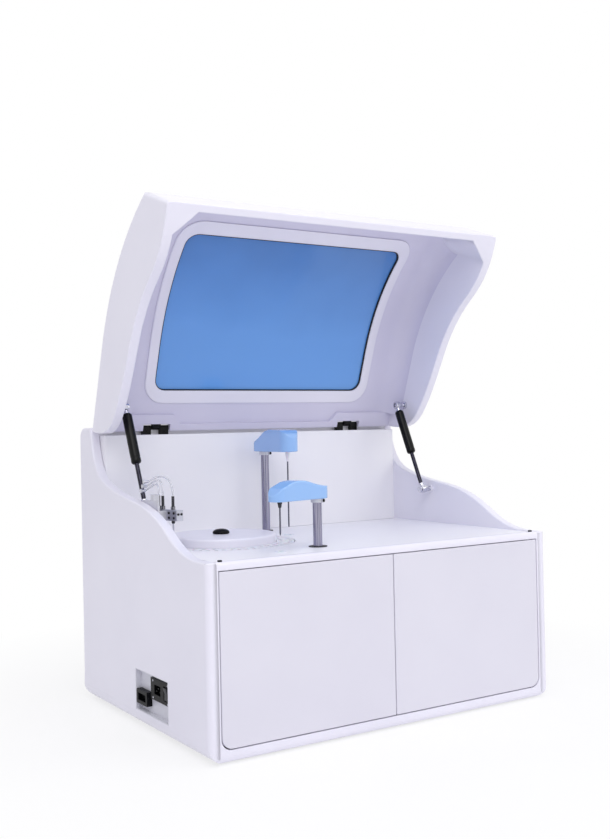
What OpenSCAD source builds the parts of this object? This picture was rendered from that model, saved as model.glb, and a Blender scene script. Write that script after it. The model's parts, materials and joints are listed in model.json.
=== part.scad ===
// Benchtop clinical chemistry analyzer, lid open, millimetres.
// X runs to the right, Y to the back, Z up. The origin is the middle of the footprint.

/* [Body] */
// Width of the body
body_w = 700; // [690:5:730]
// Depth of the body
body_d = 516; // [512:2:540]
// Height of the front rim above the bench
deck_z = 305; // [303:1:309]
// Height of the rear cabinet's top
rear_z = 513; // [511:1:516]
// Thickness of a side panel
wall_t = 18; // [16:0.5:20]
// Height of the rubber feet below the base
foot_h = 2.5; // [1.5:0.5:5]
// Radius of the bottom corners, seen from the front
bottom_r = 28; // [20:1:34]
// Radius of the vertical front edges
front_r = 8; // [5:1:12]
// Radius of the rear corners, seen from the side
rear_r = 20; // [12:1:24]
// Sheet thickness of the chassis and the covers
sheet_t = 3; // [2.5:0.1:3.5]
// Distance of the rear cabinet's riser from the back
riser_d = 55; // [54:0.5:58]
// Distance of the bay's back wall from the back
bay_wall_d = 84; // [83:0.5:86]
// How far the middle of the bay's back wall stands proud
bay_step = 4; // [2:0.5:6]
// How far the rear panel lies behind its rim
panel_inset = 2; // [1.8:0.1:3]
// Depth of the hinge ledge below the rear top
ledge_drop = 15; // [14:0.5:18]

/* [Doors] */
// Depth of the front frame
frame_d = 15; // [14:0.5:17]
// Margin of the door opening at the sides
door_side = 20.7; // [19:0.1:23]
// Height of the door opening's sill
door_sill = 21.7; // [20:0.1:24]
// Depth of the door opening's head below the rim
door_head = 12.6; // [11:0.1:14]
// Gap round a door
door_gap = 1.5; // [1.2:0.1:2]
// Thickness of a door
door_t = 12; // [11:0.5:13]
// Radius of a door's lower outer corner
door_r = 18; // [12:1:22]
// Distance of the door pivot from the door's outer edge
pivot_in = 16; // [15.5:0.5:18]
// Distance of the door pivot from the door's front face
pivot_back = 5; // [4.5:0.5:6]
// Radius of a door pivot pin
pivot_r = 2; // [1.5:0.1:2.4]

/* [Lid] */
// Angle at which the lid stands open
lid_open = 70; // [66:1:72]
// Height of the closed lid's flat top above the rear cabinet
lid_rise = 3; // [2.5:0.1:4]
// Radius of the lid's front curve
lid_r = 455; // [450:1:465]
// Length of the flat top in front of the hinge axis
lid_flat = 161; // [156:1:166]
// Thickness of the lid's outer skin
lid_t = 5; // [4:0.5:6]
// Radius of the lid's long outer edges
lid_edge_r = 12; // [8:1:16]
// Thickness of the lid's side walls
cheek_t = 18; // [16:0.5:20]
// Thickness of the lid's front wall
lip_t = 14; // [12:0.5:16]
// Depth of the rounding at the lid's front edge
lip_round = 18; // [12:1:20]
// Gap between the closed lid and the body below
lid_gap = 3; // [2.8:0.1:4]
// Leg of the gussets in the lid's front corners
gusset = 40; // [30:1:46]
// Thickness of the inner liner
liner_t = 3; // [2:0.5:4]
// Radius of the cove between the liner's ceiling and its sides
cove_r = 40; // [30:1:44]
// Thickness of the bar along the lid's rear edge
rear_bar_t = 6; // [4:0.5:6]
// Depth of the hinge pads on the rear bar
pad_d = 32; // [30:1:34]
// Depth of the rear bar between the pads
bar_d = 13; // [10:1:20]

/* [Window] */
// Distance of the clear window from the side walls
win_side = 95; // [93:1:107]
// Distance of the clear window from the hinge axis
win_rear = 76; // [74:1:86]
// Distance of the clear window from the front
win_fore = 68; // [66:1:78]
// Corner radius of the clear window
win_r = 22; // [16:1:26]
// Thickness of the glass
glass_t = 4; // [3:0.5:4]
// Width of the glass held behind the frame at the sides
glass_lap = 8.5; // [6:0.5:10]
// Width of the glass held behind the frame at the front and the back
glass_end_lap = 4.5; // [3:0.5:6]
// Gap round the glass in the skin
glass_gap = 1.5; // [1:0.1:2]
// Width of the frame at the sides
trim_w = 20; // [18:0.5:22]
// Width of the frame at the front and the back
trim_end_w = 26; // [22:0.5:26]
// Thickness of the frame
trim_t = 6; // [5:0.5:6]
// Width of the gasket along the frame's inner edge
gasket_w = 1.5; // [1:0.1:2]

/* [Lid hinges] */
// Hinge axis below the closed lid's top
hinge_drop = 4.5; // [4.5:0.1:5]
// Hinge axis in front of the riser
hinge_in = 7; // [6.8:0.1:7.5]
// Distance of each hinge from the side wall
hinge_side = 109; // [92:1:132]
// Length of a hinge
hinge_l = 54; // [44:1:60]
// Radius of a hinge barrel
barrel_r = 4.5; // [4:0.1:4.5]
// Radius of a hinge pin
pin_r = 2.2; // [1.5:0.1:2.5]

/* [Gas struts] */
// Distance of each strut from the side wall
strut_in = 21; // [20:0.5:23]
// Lower stud in front of the hinge axis
strut_back = 149; // [146:1:152]
// Lower stud above the rim
strut_low_z = 68; // [64:1:70]
// Upper stud in front of the hinge axis, lid closed
strut_up_y = 58.5; // [56:0.5:60]
// Upper stud below the hinge axis, lid closed
strut_up_z = 51; // [50:0.5:53]
// Radius of the cylinder
tube_r = 9; // [8:0.5:9]
// Length of the cylinder
tube_l = 98; // [96:0.5:99]
// Length of rod inside the cylinder, lid open
rod_in = 20; // [16:0.5:21]
// Radius of the piston rod
rod_r = 4; // [3:0.5:4.5]
// Radius of a stud
stud_r = 4; // [3:0.5:4.5]
// Radius of a ball socket
socket_r = 8; // [7:0.5:8.5]

/* [Turntable] */
// Distance of the centre from the left side wall
table_side = 148; // [146:1:150]
// Distance of the centre from the bay's back wall
table_back = 168; // [166:1:170]
// Outer radius
table_r = 130.5; // [130:0.5:131]
// Radius of the cuvette row
cuvette_row_r = 124; // [123.5:0.5:124.5]
// Radius of the cup row
cup_row_r = 108; // [107.5:0.5:108.5]
// Number of cuvettes
cuvette_n = 60; // [60:4:64]
// Number of cups
cup_n = 40; // [36:4:40]
// Radius of the lift-off cover
cover_r = 98; // [94:1:98]
// Height of the lift-off cover
cover_h = 16.5; // [14:0.5:18]
// Radius of the knob
knob_r = 15; // [12:0.5:18]

/* [Pipetting arms] */
// Radius of an arm column
column_r = 7.75; // [7:0.25:8]
// Rear column: direction from the turntable
rear_col_a = 36.8; // [35.8:0.2:38]
// Rear column: distance from the turntable
rear_col_l = 208; // [206:1:210]
// Front column: direction from the turntable
front_col_a = -62.2; // [-63:0.2:-61]
// Front column: distance from the turntable
front_col_l = 197.5; // [196:0.5:199]
// Direction in which the rear arm points
rear_point = 265; // [255:1:270]
// Direction in which the front arm points
front_point = 194; // [190:1:200]
// Underside of the rear arm
rear_arm_z = 460; // [456:1:461]
// Underside of the front arm
front_arm_z = 385; // [380:1:386]
// Tip of the rear needle
rear_tip_z = 318; // [317:1:322]
// Tip of the front needle
front_tip_z = 330; // [324:1:336]
// Radius of a needle
needle_r = 1.4; // [1:0.1:1.5]

/* [Wash head] */
// Direction of the head from the turntable
wash_a = 193; // [192:1:194]
// Underside of the head
wash_z = 353; // [350:1:356]
// Height of the head
wash_h = 18; // [14:1:20]
// Tip of the wash needles
wash_tip_z = 330; // [328:1:334]

/* [Power panel] */
// Front end of the recess
power_front = -116; // [-120:1:-112]
// Width of the recess
power_w = 130; // [126:1:136]
// Lower edge of the recess
power_low = 32; // [31:1:36]
// Height of the recess
power_h = 70; // [68:1:74]

/* [Hidden] */

$fn = 64;
eps = 0.01;
run_gap = 0.05;
part_gap = 0.3;
white = "#e6e4ef";
liner_white = "#d6d3e4";
blue = "#8fbdf0";
black = "#17171c";
steel = "#9c9aa8";
dark_steel = "#4b4b55";
green = "#2d6a45";

x_out = body_w / 2;
x_in = x_out - wall_t;
y_front = -body_d / 2;
y_back = body_d / 2;
panel_y = y_back - panel_inset;
riser_y = y_back - riser_d;
bay_y = y_back - bay_wall_d;
ledge_z = rear_z - ledge_drop;
frame_y = y_front + frame_d;
plate_z = deck_z - 1.5;
plate_t = 4;
deck_low = plate_z - plate_t;
floor_z = foot_h + sheet_t;

lid_z = rear_z + lid_rise;
hinge_x = x_in - hinge_side;
hinge_y = riser_y - hinge_in;
hinge_z = lid_z - hinge_drop;
lid_back_y = riser_y - 3.5;
lid_bend_y = hinge_y - lid_flat;
cheek_in = x_out - cheek_t;
lip_in = y_front + lip_t;
win_x = cheek_in - win_side;
win_back = hinge_y - win_rear;
win_front = y_front + win_fore;
strut_x = x_in - strut_in;
strut_low_y = hinge_y - strut_back;

table_x = table_side - x_in;
table_y = bay_y - table_back;
table = [table_x, table_y];
rear_col = table + rear_col_l * [cos(rear_col_a), sin(rear_col_a)];
front_col = table + front_col_l * [cos(front_col_a), sin(front_col_a)];
rear_reach = rear_col_l - cup_row_r;
front_reach = front_col_l - cup_row_r;
rear_well = rear_col + rear_reach * [cos(rear_point), sin(rear_point)];
front_well = front_col + front_reach * [cos(front_point), sin(front_point)];

// Points on a circular arc, angles in degrees
function arc(c, r, a0, a1, n) = [for (i = [0:n]) let (a = a0 + (a1 - a0) * i / n)
    c + r * [cos(a), sin(a)]];
// Points on a cubic curve, without its last point
function curve(p, n) = [for (i = [0:n - 1]) let (t = i / n, s = 1 - t)
    s * s * s * p[0] + 3 * s * s * t * p[1] + 3 * s * t * t * p[2] + t * t * t * p[3]];
// Turns (y, z) about the hinge axis as the lid opens
function opened(y, z) = [
    hinge_y + (y - hinge_y) * cos(lid_open) + (z - hinge_z) * sin(lid_open),
    hinge_z - (y - hinge_y) * sin(lid_open) + (z - hinge_z) * cos(lid_open)];

// The swept top edge of a side panel, from the riser down to the front rim.
// A point is a share of the way from the rim's front corner to the riser's top.
function sweep_pt(u, v) = [y_front + u * (riser_y - y_front), deck_z + v * (rear_z - deck_z)];
sweep = concat(
    curve([sweep_pt(1, 0.99), sweep_pt(0.985, 0.793), sweep_pt(0.967, 0.611),
        sweep_pt(0.879, 0.529)], 10),
    curve([sweep_pt(0.879, 0.529), sweep_pt(0.8, 0.455), sweep_pt(0.69, 0.42),
        sweep_pt(0.579, 0.385)], 6),
    curve([sweep_pt(0.579, 0.385), sweep_pt(0.48, 0.355), sweep_pt(0.386, 0.288),
        sweep_pt(0.304, 0.173)], 8),
    curve([sweep_pt(0.304, 0.173), sweep_pt(0.234, 0.077), sweep_pt(0.169, 0),
        sweep_pt(0.056, 0)], 8),
    [sweep_pt(0.056, 0)]);

// Extrudes an outline of (y, z) points along X
module along_x(x0, x1) {
    translate([x0, 0, 0]) rotate([90, 0, 90]) linear_extrude(x1 - x0) children();
}
module box(a, b) { translate(a) cube(b - a); }
module tube(r1, r0, h) {
    difference() { cylinder(r = r1, h = h); translate([0, 0, -1]) cylinder(r = r0, h = h + 2); }
}
module mirrored() { children(); mirror([1, 0, 0]) children(); }
module rod_x(r, x0, x1) { translate([x0, 0, 0]) rotate([0, 90, 0]) cylinder(r = r, h = x1 - x0); }

module side_outline() {
    low_r = 10;
    polygon(concat(
        arc([y_front + low_r, foot_h + low_r], low_r, 180, 270, 5),
        arc([y_back - rear_r, foot_h + rear_r], rear_r, 270, 360, 8),
        arc([y_back - rear_r, rear_z - rear_r], rear_r, 0, 90, 8),
        [[riser_y + 1.5, rear_z]], sweep, [[y_front + 4, deck_z], [y_front, deck_z - 4]]));
}
// Everything that belongs to the outside of the body is cut to this shape
module envelope() {
    intersection() {
        along_x(-x_out, x_out) side_outline();
        translate([0, y_back, 0]) rotate([90, 0, 0]) linear_extrude(body_d) polygon(concat(
            arc([-x_out + bottom_r, foot_h + bottom_r], bottom_r, 180, 270, 9),
            arc([x_out - bottom_r, foot_h + bottom_r], bottom_r, 270, 360, 9),
            [[x_out, rear_z], [-x_out, rear_z]]));
        linear_extrude(rear_z) polygon(concat(
            arc([-x_out + front_r, y_front + front_r], front_r, 180, 270, 8),
            arc([x_out - front_r, y_front + front_r], front_r, 270, 360, 8),
            [[x_out, y_back], [-x_out, y_back]]));
    }
}

module right_panel_blank() {
    intersection() { envelope(); box([x_in, y_front, 0], [x_out, y_back, rear_z]); }
}
module right_side_panel() {
    color(white) difference() {
        right_panel_blank();
        translate([0, strut_low_y, deck_z + strut_low_z]) rod_x(stud_r, x_in - 1, x_out - 4);
    }
}
module left_side_panel() {
    color(white) difference() {
        mirror([1, 0, 0]) right_panel_blank();
        mirror([1, 0, 0]) translate([0, strut_low_y, deck_z + strut_low_z])
            rod_x(stud_r, x_in - 1, x_out - 4);
        box([-x_out - 1, power_front, power_low],
            [-x_in + 1, power_front + power_w, power_low + power_h]);
    }
}

pivot_x = x_out - door_side - door_gap - pivot_in;
pivot_y = y_front + pivot_back;
door_low = door_sill + door_gap;
door_top = deck_z - door_head - door_gap;
pivot_l = 10;
stop_x = pivot_x - 28;
// Doorway outline, with rounded lower corners
module doorway() {
    w = x_out - door_side;
    polygon(concat(arc([-w + door_r, door_sill + door_r], door_r, 180, 270, 6),
        arc([w - door_r, door_sill + door_r], door_r, 270, 360, 6),
        [[w, deck_z - door_head], [-w, deck_z - door_head]]));
}
stop_h = 8;
stop_t = 2.5;
module front_frame() {
    color(white) difference() {
        union() {
            difference() {
                intersection() {
                    envelope();
                    box([-x_in, y_front, 0], [x_in, frame_y, deck_z]);
                }
                translate([0, frame_y + 1, 0]) rotate([90, 0, 0])
                    linear_extrude(frame_d + 2) doorway();
            }
            for (z = [door_sill, deck_z - door_head - stop_h])
                box([-stop_x, frame_y - stop_t, z], [stop_x, frame_y, z + stop_h]);
        }
        for (s = [-1, 1]) translate([s * pivot_x, pivot_y, door_low - pivot_l])
            cylinder(r = pivot_r, h = door_top - door_low + 2 * pivot_l);
        mirrored() translate([bumper_x, bumper_y, deck_z - 4]) cylinder(r = 3, h = 5);
    }
}
bumper_x = x_in - 10;
bumper_y = y_front + 9;
module lid_bumpers() {
    color(black) mirrored() translate([bumper_x, bumper_y, deck_z - 4]) {
        cylinder(r = 3, h = 4);
        translate([0, 0, 4]) cylinder(r = 3.5, h = lid_gap - 0.5);
    }
}
module door_hardware() {
    color(steel) {
        mirrored() for (z = [door_low - pivot_l, door_top - pivot_l])
            translate([pivot_x, pivot_y, z]) cylinder(r = pivot_r, h = 2 * pivot_l);
        // Magnetic catches behind the free edge of each door
        mirrored() for (z = [door_sill, door_top + door_gap - stop_h])
            box([12, frame_y, z], [44, frame_y + 14, z + stop_h]);
    }
}
// One door, hinged at the right
module door() {
    x0 = door_gap / 2;
    x1 = x_out - door_side - door_gap;
    difference() {
        translate([0, y_front + door_t, 0]) rotate([90, 0, 0]) linear_extrude(door_t)
            polygon(concat([[x0, door_low]],
                arc([x1 - door_r, door_low + door_r], door_r, 270, 360, 6),
                [[x1, door_top], [x0, door_top]]));
        for (z = [door_low - 1, door_top - pivot_l - 1])
            translate([pivot_x, pivot_y, z]) cylinder(r = pivot_r + run_gap, h = pivot_l + 2);
    }
}
module right_door() { color(white) door(); }
module left_door() { color(white) mirror([1, 0, 0]) door(); }

module rubber_feet() {
    color(black) for (x = [-1, 1], y = [-1, 1])
        translate([x * (x_in - 45), y * (y_back - 50), 0]) cylinder(r = 16, h = foot_h);
}
// Folded floor with two uprights that carry the deck and the rear wall
module base_chassis() {
    color(steel) {
        intersection() {
            envelope();
            box([-x_in, frame_y, foot_h], [x_in, panel_y - sheet_t, floor_z]);
        }
        difference() {
            for (x = [-x_in, x_in - sheet_t])
                box([x, frame_y + 30, floor_z], [x + sheet_t, bay_y - 10, deck_low]);
            box([-x_in - 1, power_front, power_low],
                [-x_in + sheet_t + 1, power_front + power_w, power_low + power_h]);
        }
        box([-x_in, bay_y - 6, floor_z], [x_in, bay_y - 6 + sheet_t, deck_low]);
    }
}

// The bay's back wall, the hinge ledge, the riser and the top, folded from one sheet
cab_t = 4;
module rear_cabinet() {
    step_x = x_in - 58;
    color(white) {
        translate([0, 0, plate_z]) linear_extrude(ledge_z - plate_z) polygon([
            [-x_in, bay_y], [-x_in + 20, bay_y], [-step_x, bay_y - bay_step],
            [step_x, bay_y - bay_step], [x_in - 20, bay_y], [x_in, bay_y],
            [x_in, bay_y + cab_t], [-x_in, bay_y + cab_t]]);
        along_x(-x_in, x_in) polygon(concat([[bay_y, ledge_z], [bay_y, ledge_z - cab_t],
            [riser_y + cab_t, ledge_z - cab_t], [riser_y + cab_t, rear_z - cab_t]],
            arc([y_back - rear_r, rear_z - rear_r], rear_r - cab_t, 90, 0, 6),
            [[y_back - cab_t, rear_z - rear_r - 20], [y_back, rear_z - rear_r - 20]],
            arc([y_back - rear_r, rear_z - rear_r], rear_r, 0, 90, 8),
            [[riser_y + 1.5, rear_z], [riser_y, rear_z - 2], [riser_y, ledge_z]]));
    }
}

fan_x = -150;
fan_z = 200;
fan_w = 92;
fan_bore = 42;
fan_d = 25;
fan_shaft_r = 3;
vent_pitch = 9;
module rear_panel() {
    top = rear_z - rear_r - 20;
    color(white) difference() {
        intersection() {
            envelope();
            box([-x_in, panel_y - sheet_t, 0], [x_in, panel_y, top]);
        }
        // Slots in front of the fan and over the power supply
        for (i = [-4:4]) {
            half = sqrt(pow(fan_bore - 2, 2) - pow(i * vent_pitch, 2));
            box([fan_x - half, panel_y - sheet_t - 1, fan_z + i * vent_pitch - 2],
                [fan_x + half, y_back, fan_z + i * vent_pitch + 2]);
            box([110, panel_y - sheet_t - 1, 110 + i * vent_pitch - 2],
                [230, y_back, 110 + i * vent_pitch + 2]);
        }
    }
}
module fan_frame() {
    y = panel_y - sheet_t - fan_d;
    color(black) difference() {
        box([fan_x - fan_w / 2, y, fan_z - fan_w / 2],
            [fan_x + fan_w / 2, y + fan_d, fan_z + fan_w / 2]);
        translate([fan_x, y - 1, fan_z]) rotate([-90, 0, 0]) cylinder(r = fan_bore, h = fan_d - 3);
        translate([fan_x, y - 1, fan_z]) rotate([-90, 0, 0]) difference() {
            cylinder(r = fan_bore - 2, h = fan_d + 2);
            cylinder(r = 20, h = fan_d + 2);
            for (a = [45, 135]) rotate([0, 0, a])
                box([-fan_bore, -3, 0], [fan_bore, 3, fan_d + 2]);
        }
        translate([fan_x, y - 1, fan_z]) rotate([-90, 0, 0])
            cylinder(r = fan_shaft_r + run_gap, h = fan_d + 2);
    }
}
module fan_rotor() {
    y = panel_y - sheet_t - fan_d + 2;
    color(dark_steel) translate([fan_x, y, fan_z]) rotate([-90, 0, 0]) {
        cylinder(r = 19, h = fan_d - 6.5);
        cylinder(r = fan_shaft_r, h = fan_d - 3);
        for (i = [0:6]) rotate([0, 0, i * 360 / 7]) translate([16, 0, 9])
            rotate([35, 0, 0]) translate([0, -9, -0.9]) cube([24, 18, 1.8]);
    }
}

// Work deck with holes for the turntable, the columns and the wash wells
bush_r = 12;
well_r = 7;
module deck_plate() {
    color(white) difference() {
        box([-x_in, frame_y, deck_low], [x_in, bay_y + cab_t, plate_z]);
        translate([table_x, table_y, deck_low - 1]) cylinder(r = table_r + 2, h = plate_t + 2, $fn = 180);
        for (p = [rear_col, front_col]) translate([p[0], p[1], deck_low - 1])
            cylinder(r = bush_r, h = plate_t + 2);
        for (p = [rear_well, front_well]) translate([p[0], p[1], deck_low - 1])
            cylinder(r = well_r, h = plate_t + 2);
    }
}
module bushing(p, flange_r) {
    translate([p[0], p[1], deck_low - 14]) tube(bush_r, column_r + run_gap, plate_t + 14);
    translate([p[0], p[1], plate_z]) tube(flange_r, column_r + run_gap, 1.2);
}
module column_bushings() { color(black) { bushing(rear_col, 13.5); bushing(front_col, 16); } }
module well(p) {
    depth = 36;
    translate([p[0], p[1], plate_z - depth]) difference() {
        union() {
            cylinder(r = well_r, h = depth);
            translate([0, 0, depth]) cylinder(r = well_r + 3, h = 1);
        }
        translate([0, 0, 2]) cylinder(r = well_r - 1.6, h = depth + 1);
    }
}
module probe_wash_wells() { color(white) { well(rear_well); well(front_well); } }

// Guide rods, fixed screws and foot plates of the two arm lifts
rod_off = 26;
screw_off = 24;
lift_rod_r = 4;
module lift_frame(p, a) {
    h = deck_low - floor_z - 6;
    translate([p[0], p[1], floor_z]) rotate([0, 0, a]) {
        box([-36, -12, 0], [36, 36, 6]);
        for (x = [-rod_off, rod_off]) translate([x, 0, 6]) cylinder(r = lift_rod_r, h = h);
        translate([0, screw_off, 6]) cylinder(r = 3, h = h);
    }
}
rear_lift_a = 180;
front_lift_a = -90;
module lift_frames() {
    color(steel) { lift_frame(rear_col, rear_lift_a); lift_frame(front_col, front_lift_a); }
}
carriage_z = 178;
carriage_h = 22;
// Carriage with its hollow-shaft motor; it slides on the rods and carries the column
module lift_carriage(p, a) {
    color(dark_steel) translate([p[0], p[1], carriage_z]) rotate([0, 0, a]) difference() {
        union() {
            box([-34, -12, 0], [34, 12, carriage_h]);
            box([-17, 12, 0], [17, 41, carriage_h]);
            box([-17, 16, -8], [17, 41, eps]);
        }
        for (x = [-rod_off, rod_off]) translate([x, 0, -20])
            cylinder(r = lift_rod_r + run_gap, h = carriage_h + 40);
        translate([0, screw_off, -20]) cylinder(r = 3.1, h = carriage_h + 40);
        translate([0, 0, -20]) cylinder(r = column_r + run_gap, h = carriage_h + 40);
    }
}
module rear_lift_carriage() { lift_carriage(rear_col, rear_lift_a); }
module front_lift_carriage() { lift_carriage(front_col, front_lift_a); }

// Column with a belt pulley below the carriage and a thrust collar above it
column_head = 12;
module column(p, arm_z) {
    z0 = carriage_z - 16;
    color(steel) translate([p[0], p[1], 0]) {
        translate([0, 0, z0]) cylinder(r = column_r, h = arm_z + column_head - z0);
        translate([0, 0, z0]) cylinder(r = 15, h = 16 - part_gap);
        translate([0, 0, carriage_z + carriage_h + part_gap]) cylinder(r = 10.5, h = 5);
        translate([0, 0, arm_z - 7]) cylinder(r = column_r + 3, h = 7);
    }
}
module rear_arm_column() { column(rear_col, rear_arm_z); }
module front_arm_column() { column(front_col, front_arm_z); }

// Arm covers: a plan with round ends, cut to a side profile of (along, up) points
module arm_cover(p, a, z, reach, w, profile, tail) {
    color(blue) translate([p[0], p[1], z]) rotate([0, 0, a]) difference() {
        intersection() {
            linear_extrude(60) union() {
                translate([w / 2 - tail, 0]) circle(r = w / 2);
                translate([reach + 4, 0]) circle(r = w / 2);
                translate([w / 2 - tail, -w / 2]) square([reach + 4 + tail - w / 2, w]);
            }
            translate([0, w / 2 + 1, 0]) rotate([90, 0, 0]) linear_extrude(w + 2)
                polygon(profile);
        }
        translate([0, 0, -1]) cylinder(r = column_r, h = column_head + 1);
        translate([reach, 0, -1]) cylinder(r = 4, h = 11);
    }
}
module rear_arm_cover() {
    arm_cover(rear_col, rear_point, rear_arm_z, rear_reach, 36, concat([[-26, 0]],
        curve([[-26, 12], [-20, 20], [-4, 20], [20, 33]], 6),
        curve([[20, 33], [34, 40], [44, 43], [64, 43]], 5),
        [[rear_reach + 6, 41], [rear_reach + 17, 35], [rear_reach + 24, 24],
        [rear_reach + 24, 0]]), 26);
}
module front_arm_cover() {
    arm_cover(front_col, front_point, front_arm_z, front_reach, 32, concat([[-19, 0]],
        [[-19, 17], [-14, 21]],
        curve([[-14, 21], [4, 22], [16, 25], [36, 31]], 5),
        curve([[36, 31], [52, 35], [68, 33], [front_reach - 8, 29]], 5),
        [[front_reach + 8, 22], [front_reach + 20, 10], [front_reach + 20, 0]]), 19);
}
module probe(p, a, z, reach, tip, ferrule_l) {
    translate([p[0], p[1], 0]) rotate([0, 0, a]) translate([reach, 0, 0]) {
        translate([0, 0, z - ferrule_l]) cylinder(r = 4, h = ferrule_l + 10);
        translate([0, 0, tip + 3]) cylinder(r = needle_r, h = z - ferrule_l - tip - 3 + eps);
        translate([0, 0, tip]) cylinder(r1 = 0.5, r2 = needle_r, h = 3);
    }
}
module rear_probe() {
    color(steel) probe(rear_col, rear_point, rear_arm_z, rear_reach, rear_tip_z, 18);
}
module front_probe() {
    color(steel) probe(front_col, front_point, front_arm_z, front_reach, front_tip_z, 10);
}

// Turntable: a dished rotor on a shaft, a ring of cuvettes and cups, and a rack of bottles
shaft_r = 8;
rotor_in = 99;
rotor_top = plate_z - 1.5;
ring_low = plate_z - 24;
motor_top = 205;
shaft_z = motor_top - 12;
module turntable_rotor() {
    color(steel) translate([table_x, table_y, 0]) rotate_extrude($fn = 180) polygon([
        [0, shaft_z], [shaft_r, shaft_z], [shaft_r, ring_low - 26], [20, ring_low - 26],
        [20, rotor_top - 4], [rotor_in - 4, rotor_top - 4], [rotor_in - 4, ring_low - 3.5],
        [table_r - 1.5, ring_low - 3.5], [table_r - 1.5, ring_low],
        [rotor_in, ring_low], [rotor_in, rotor_top], [0, rotor_top]]);
}
module turntable_bearing() {
    z0 = motor_top + 3;
    z1 = ring_low - 26 - part_gap;
    color(dark_steel) translate([table_x, table_y, 0]) {
        translate([0, 0, z0]) tube(24, shaft_r + run_gap, z1 - z0);
        translate([0, 0, z0]) difference() {
            box([-36, -36, 0], [36, 36, 6]);
            translate([0, 0, -1]) cylinder(r = 20, h = 8);
        }
        for (x = [-32, 32], y = [-32, 32]) translate([x, y, floor_z])
            cylinder(r = 4, h = z0 - floor_z);
    }
}
module turntable_motor() {
    color(black) translate([table_x, table_y, 0]) difference() {
        union() {
            box([-27, -27, 140], [27, 27, motor_top]);
            translate([0, 0, motor_top]) cylinder(r = 19, h = 3);
        }
        translate([0, 0, shaft_z - 1]) cylinder(r = shaft_r + part_gap, h = 30);
    }
}
module cuvette_ring() {
    cuvette_w = 6.4;
    well_d = 20;
    h = plate_z - ring_low;
    color("white") translate([table_x, table_y, ring_low]) difference() {
        tube(table_r, rotor_in + 0.5, h, $fn = 180);
        for (i = [0:cuvette_n - 1]) rotate([0, 0, wash_needle_a[0] + i * 360 / cuvette_n])
            translate([cuvette_row_r - cuvette_w / 2, -cuvette_w / 2, h - well_d])
                cube([cuvette_w, cuvette_w, well_d + 1]);
        for (i = [0:cup_n - 1]) rotate([0, 0, rear_col_a + i * 360 / cup_n])
            translate([cup_row_r, 0, h - well_d]) cylinder(r = 4.5, h = well_d + 1, $fn = 24);
    }
}
// Shallow bottles stand on the rotor, under the cover
module reagent_rack() {
    color(green) translate([table_x, table_y, rotor_top]) {
        difference() {
            cylinder(r = 88, h = 2);
            translate([0, 0, -1]) cylinder(r = 20, h = 4);
        }
        for (i = [0:11]) rotate([0, 0, i * 30]) translate([68, 0, 2.02])
            cylinder(r = 14, h = cover_h - 5, $fn = 24);
    }
}
module turntable_cover() {
    wall = 2.5;
    color(white) translate([table_x, table_y, rotor_top + part_gap]) rotate_extrude($fn = 180) polygon(concat(
        [[cover_r - wall, 0], [cover_r, 0]],
        arc([cover_r - 4, cover_h - 4], 4, 0, 90, 5),
        [[0, cover_h], [0, cover_h - wall], [cover_r - wall, cover_h - wall]]));
}
module cover_knob() {
    color(black) translate([table_x, table_y, rotor_top + part_gap + cover_h]) rotate_extrude() polygon(concat(
        [[0, 0], [knob_r - 3, 0], [knob_r, 3], [knob_r, 4.5]],
        curve([[knob_r, 4.5], [knob_r - 2, 7], [knob_r / 2, 9], [0, 9]], 6), [[0, 9]]));
}

// Wash head: rides on a rail on the left wall
wash_c = table + cuvette_row_r * [cos(wash_a), sin(wash_a)];
rail_w = 12;
rail_y = wash_c[1];
rail_in = -x_in + 14;
// Needle angles, in steps of the cuvette pitch
wash_needle_a = [for (k = [-1.5, -0.5, 1.5]) wash_a + k * 360 / cuvette_n];
wash_pts = [for (a = wash_needle_a) table + cuvette_row_r * [cos(a), sin(a)]];
wash_top = wash_z + wash_h;
module wash_bracket() {
    color(steel) {
        box([-x_in, rail_y - 30, wash_z - 12], [-x_in + 3, rail_y + 34, wash_z + 34]);
        box([-x_in + 3 - eps, rail_y - rail_w / 2, plate_z],
            [rail_in, rail_y + rail_w / 2, wash_z + 44]);
        // Hose fittings
        for (f = wall_fit) translate([0, f[1], f[2]]) {
            rod_x(2.4, -x_in, -x_in + fit_l);
            rod_x(3.6, -x_in, -x_in + 3);
        }
    }
}
module wash_head() {
    half = rail_w / 2 + part_gap;
    color(steel) {
        difference() {
            union() {
                translate([wash_c[0], wash_c[1], wash_z]) rotate([0, 0, wash_a])
                    box([-7, -33, 0], [7, 39, wash_h]);
                box([rail_in - 8, rail_y - 14, wash_z + 1], [wash_c[0], rail_y + 14, wash_top - 1]);
            }
            box([-x_in, rail_y - half, wash_z - 1],
                [rail_in + part_gap, rail_y + half, wash_top + 1]);
        }
        for (p = wash_pts) translate([p[0], p[1], 0]) rotate_extrude() polygon([
            [0, wash_tip_z], [0.6, wash_tip_z], [1.4, wash_tip_z + 2], [1.4, wash_top - 1],
            [3.6, wash_top - 1], [3.6, wash_top + 5], [2.2, wash_top + 5],
            [2.2, wash_top + 24], [0, wash_top + 24]]);
    }
}
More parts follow.
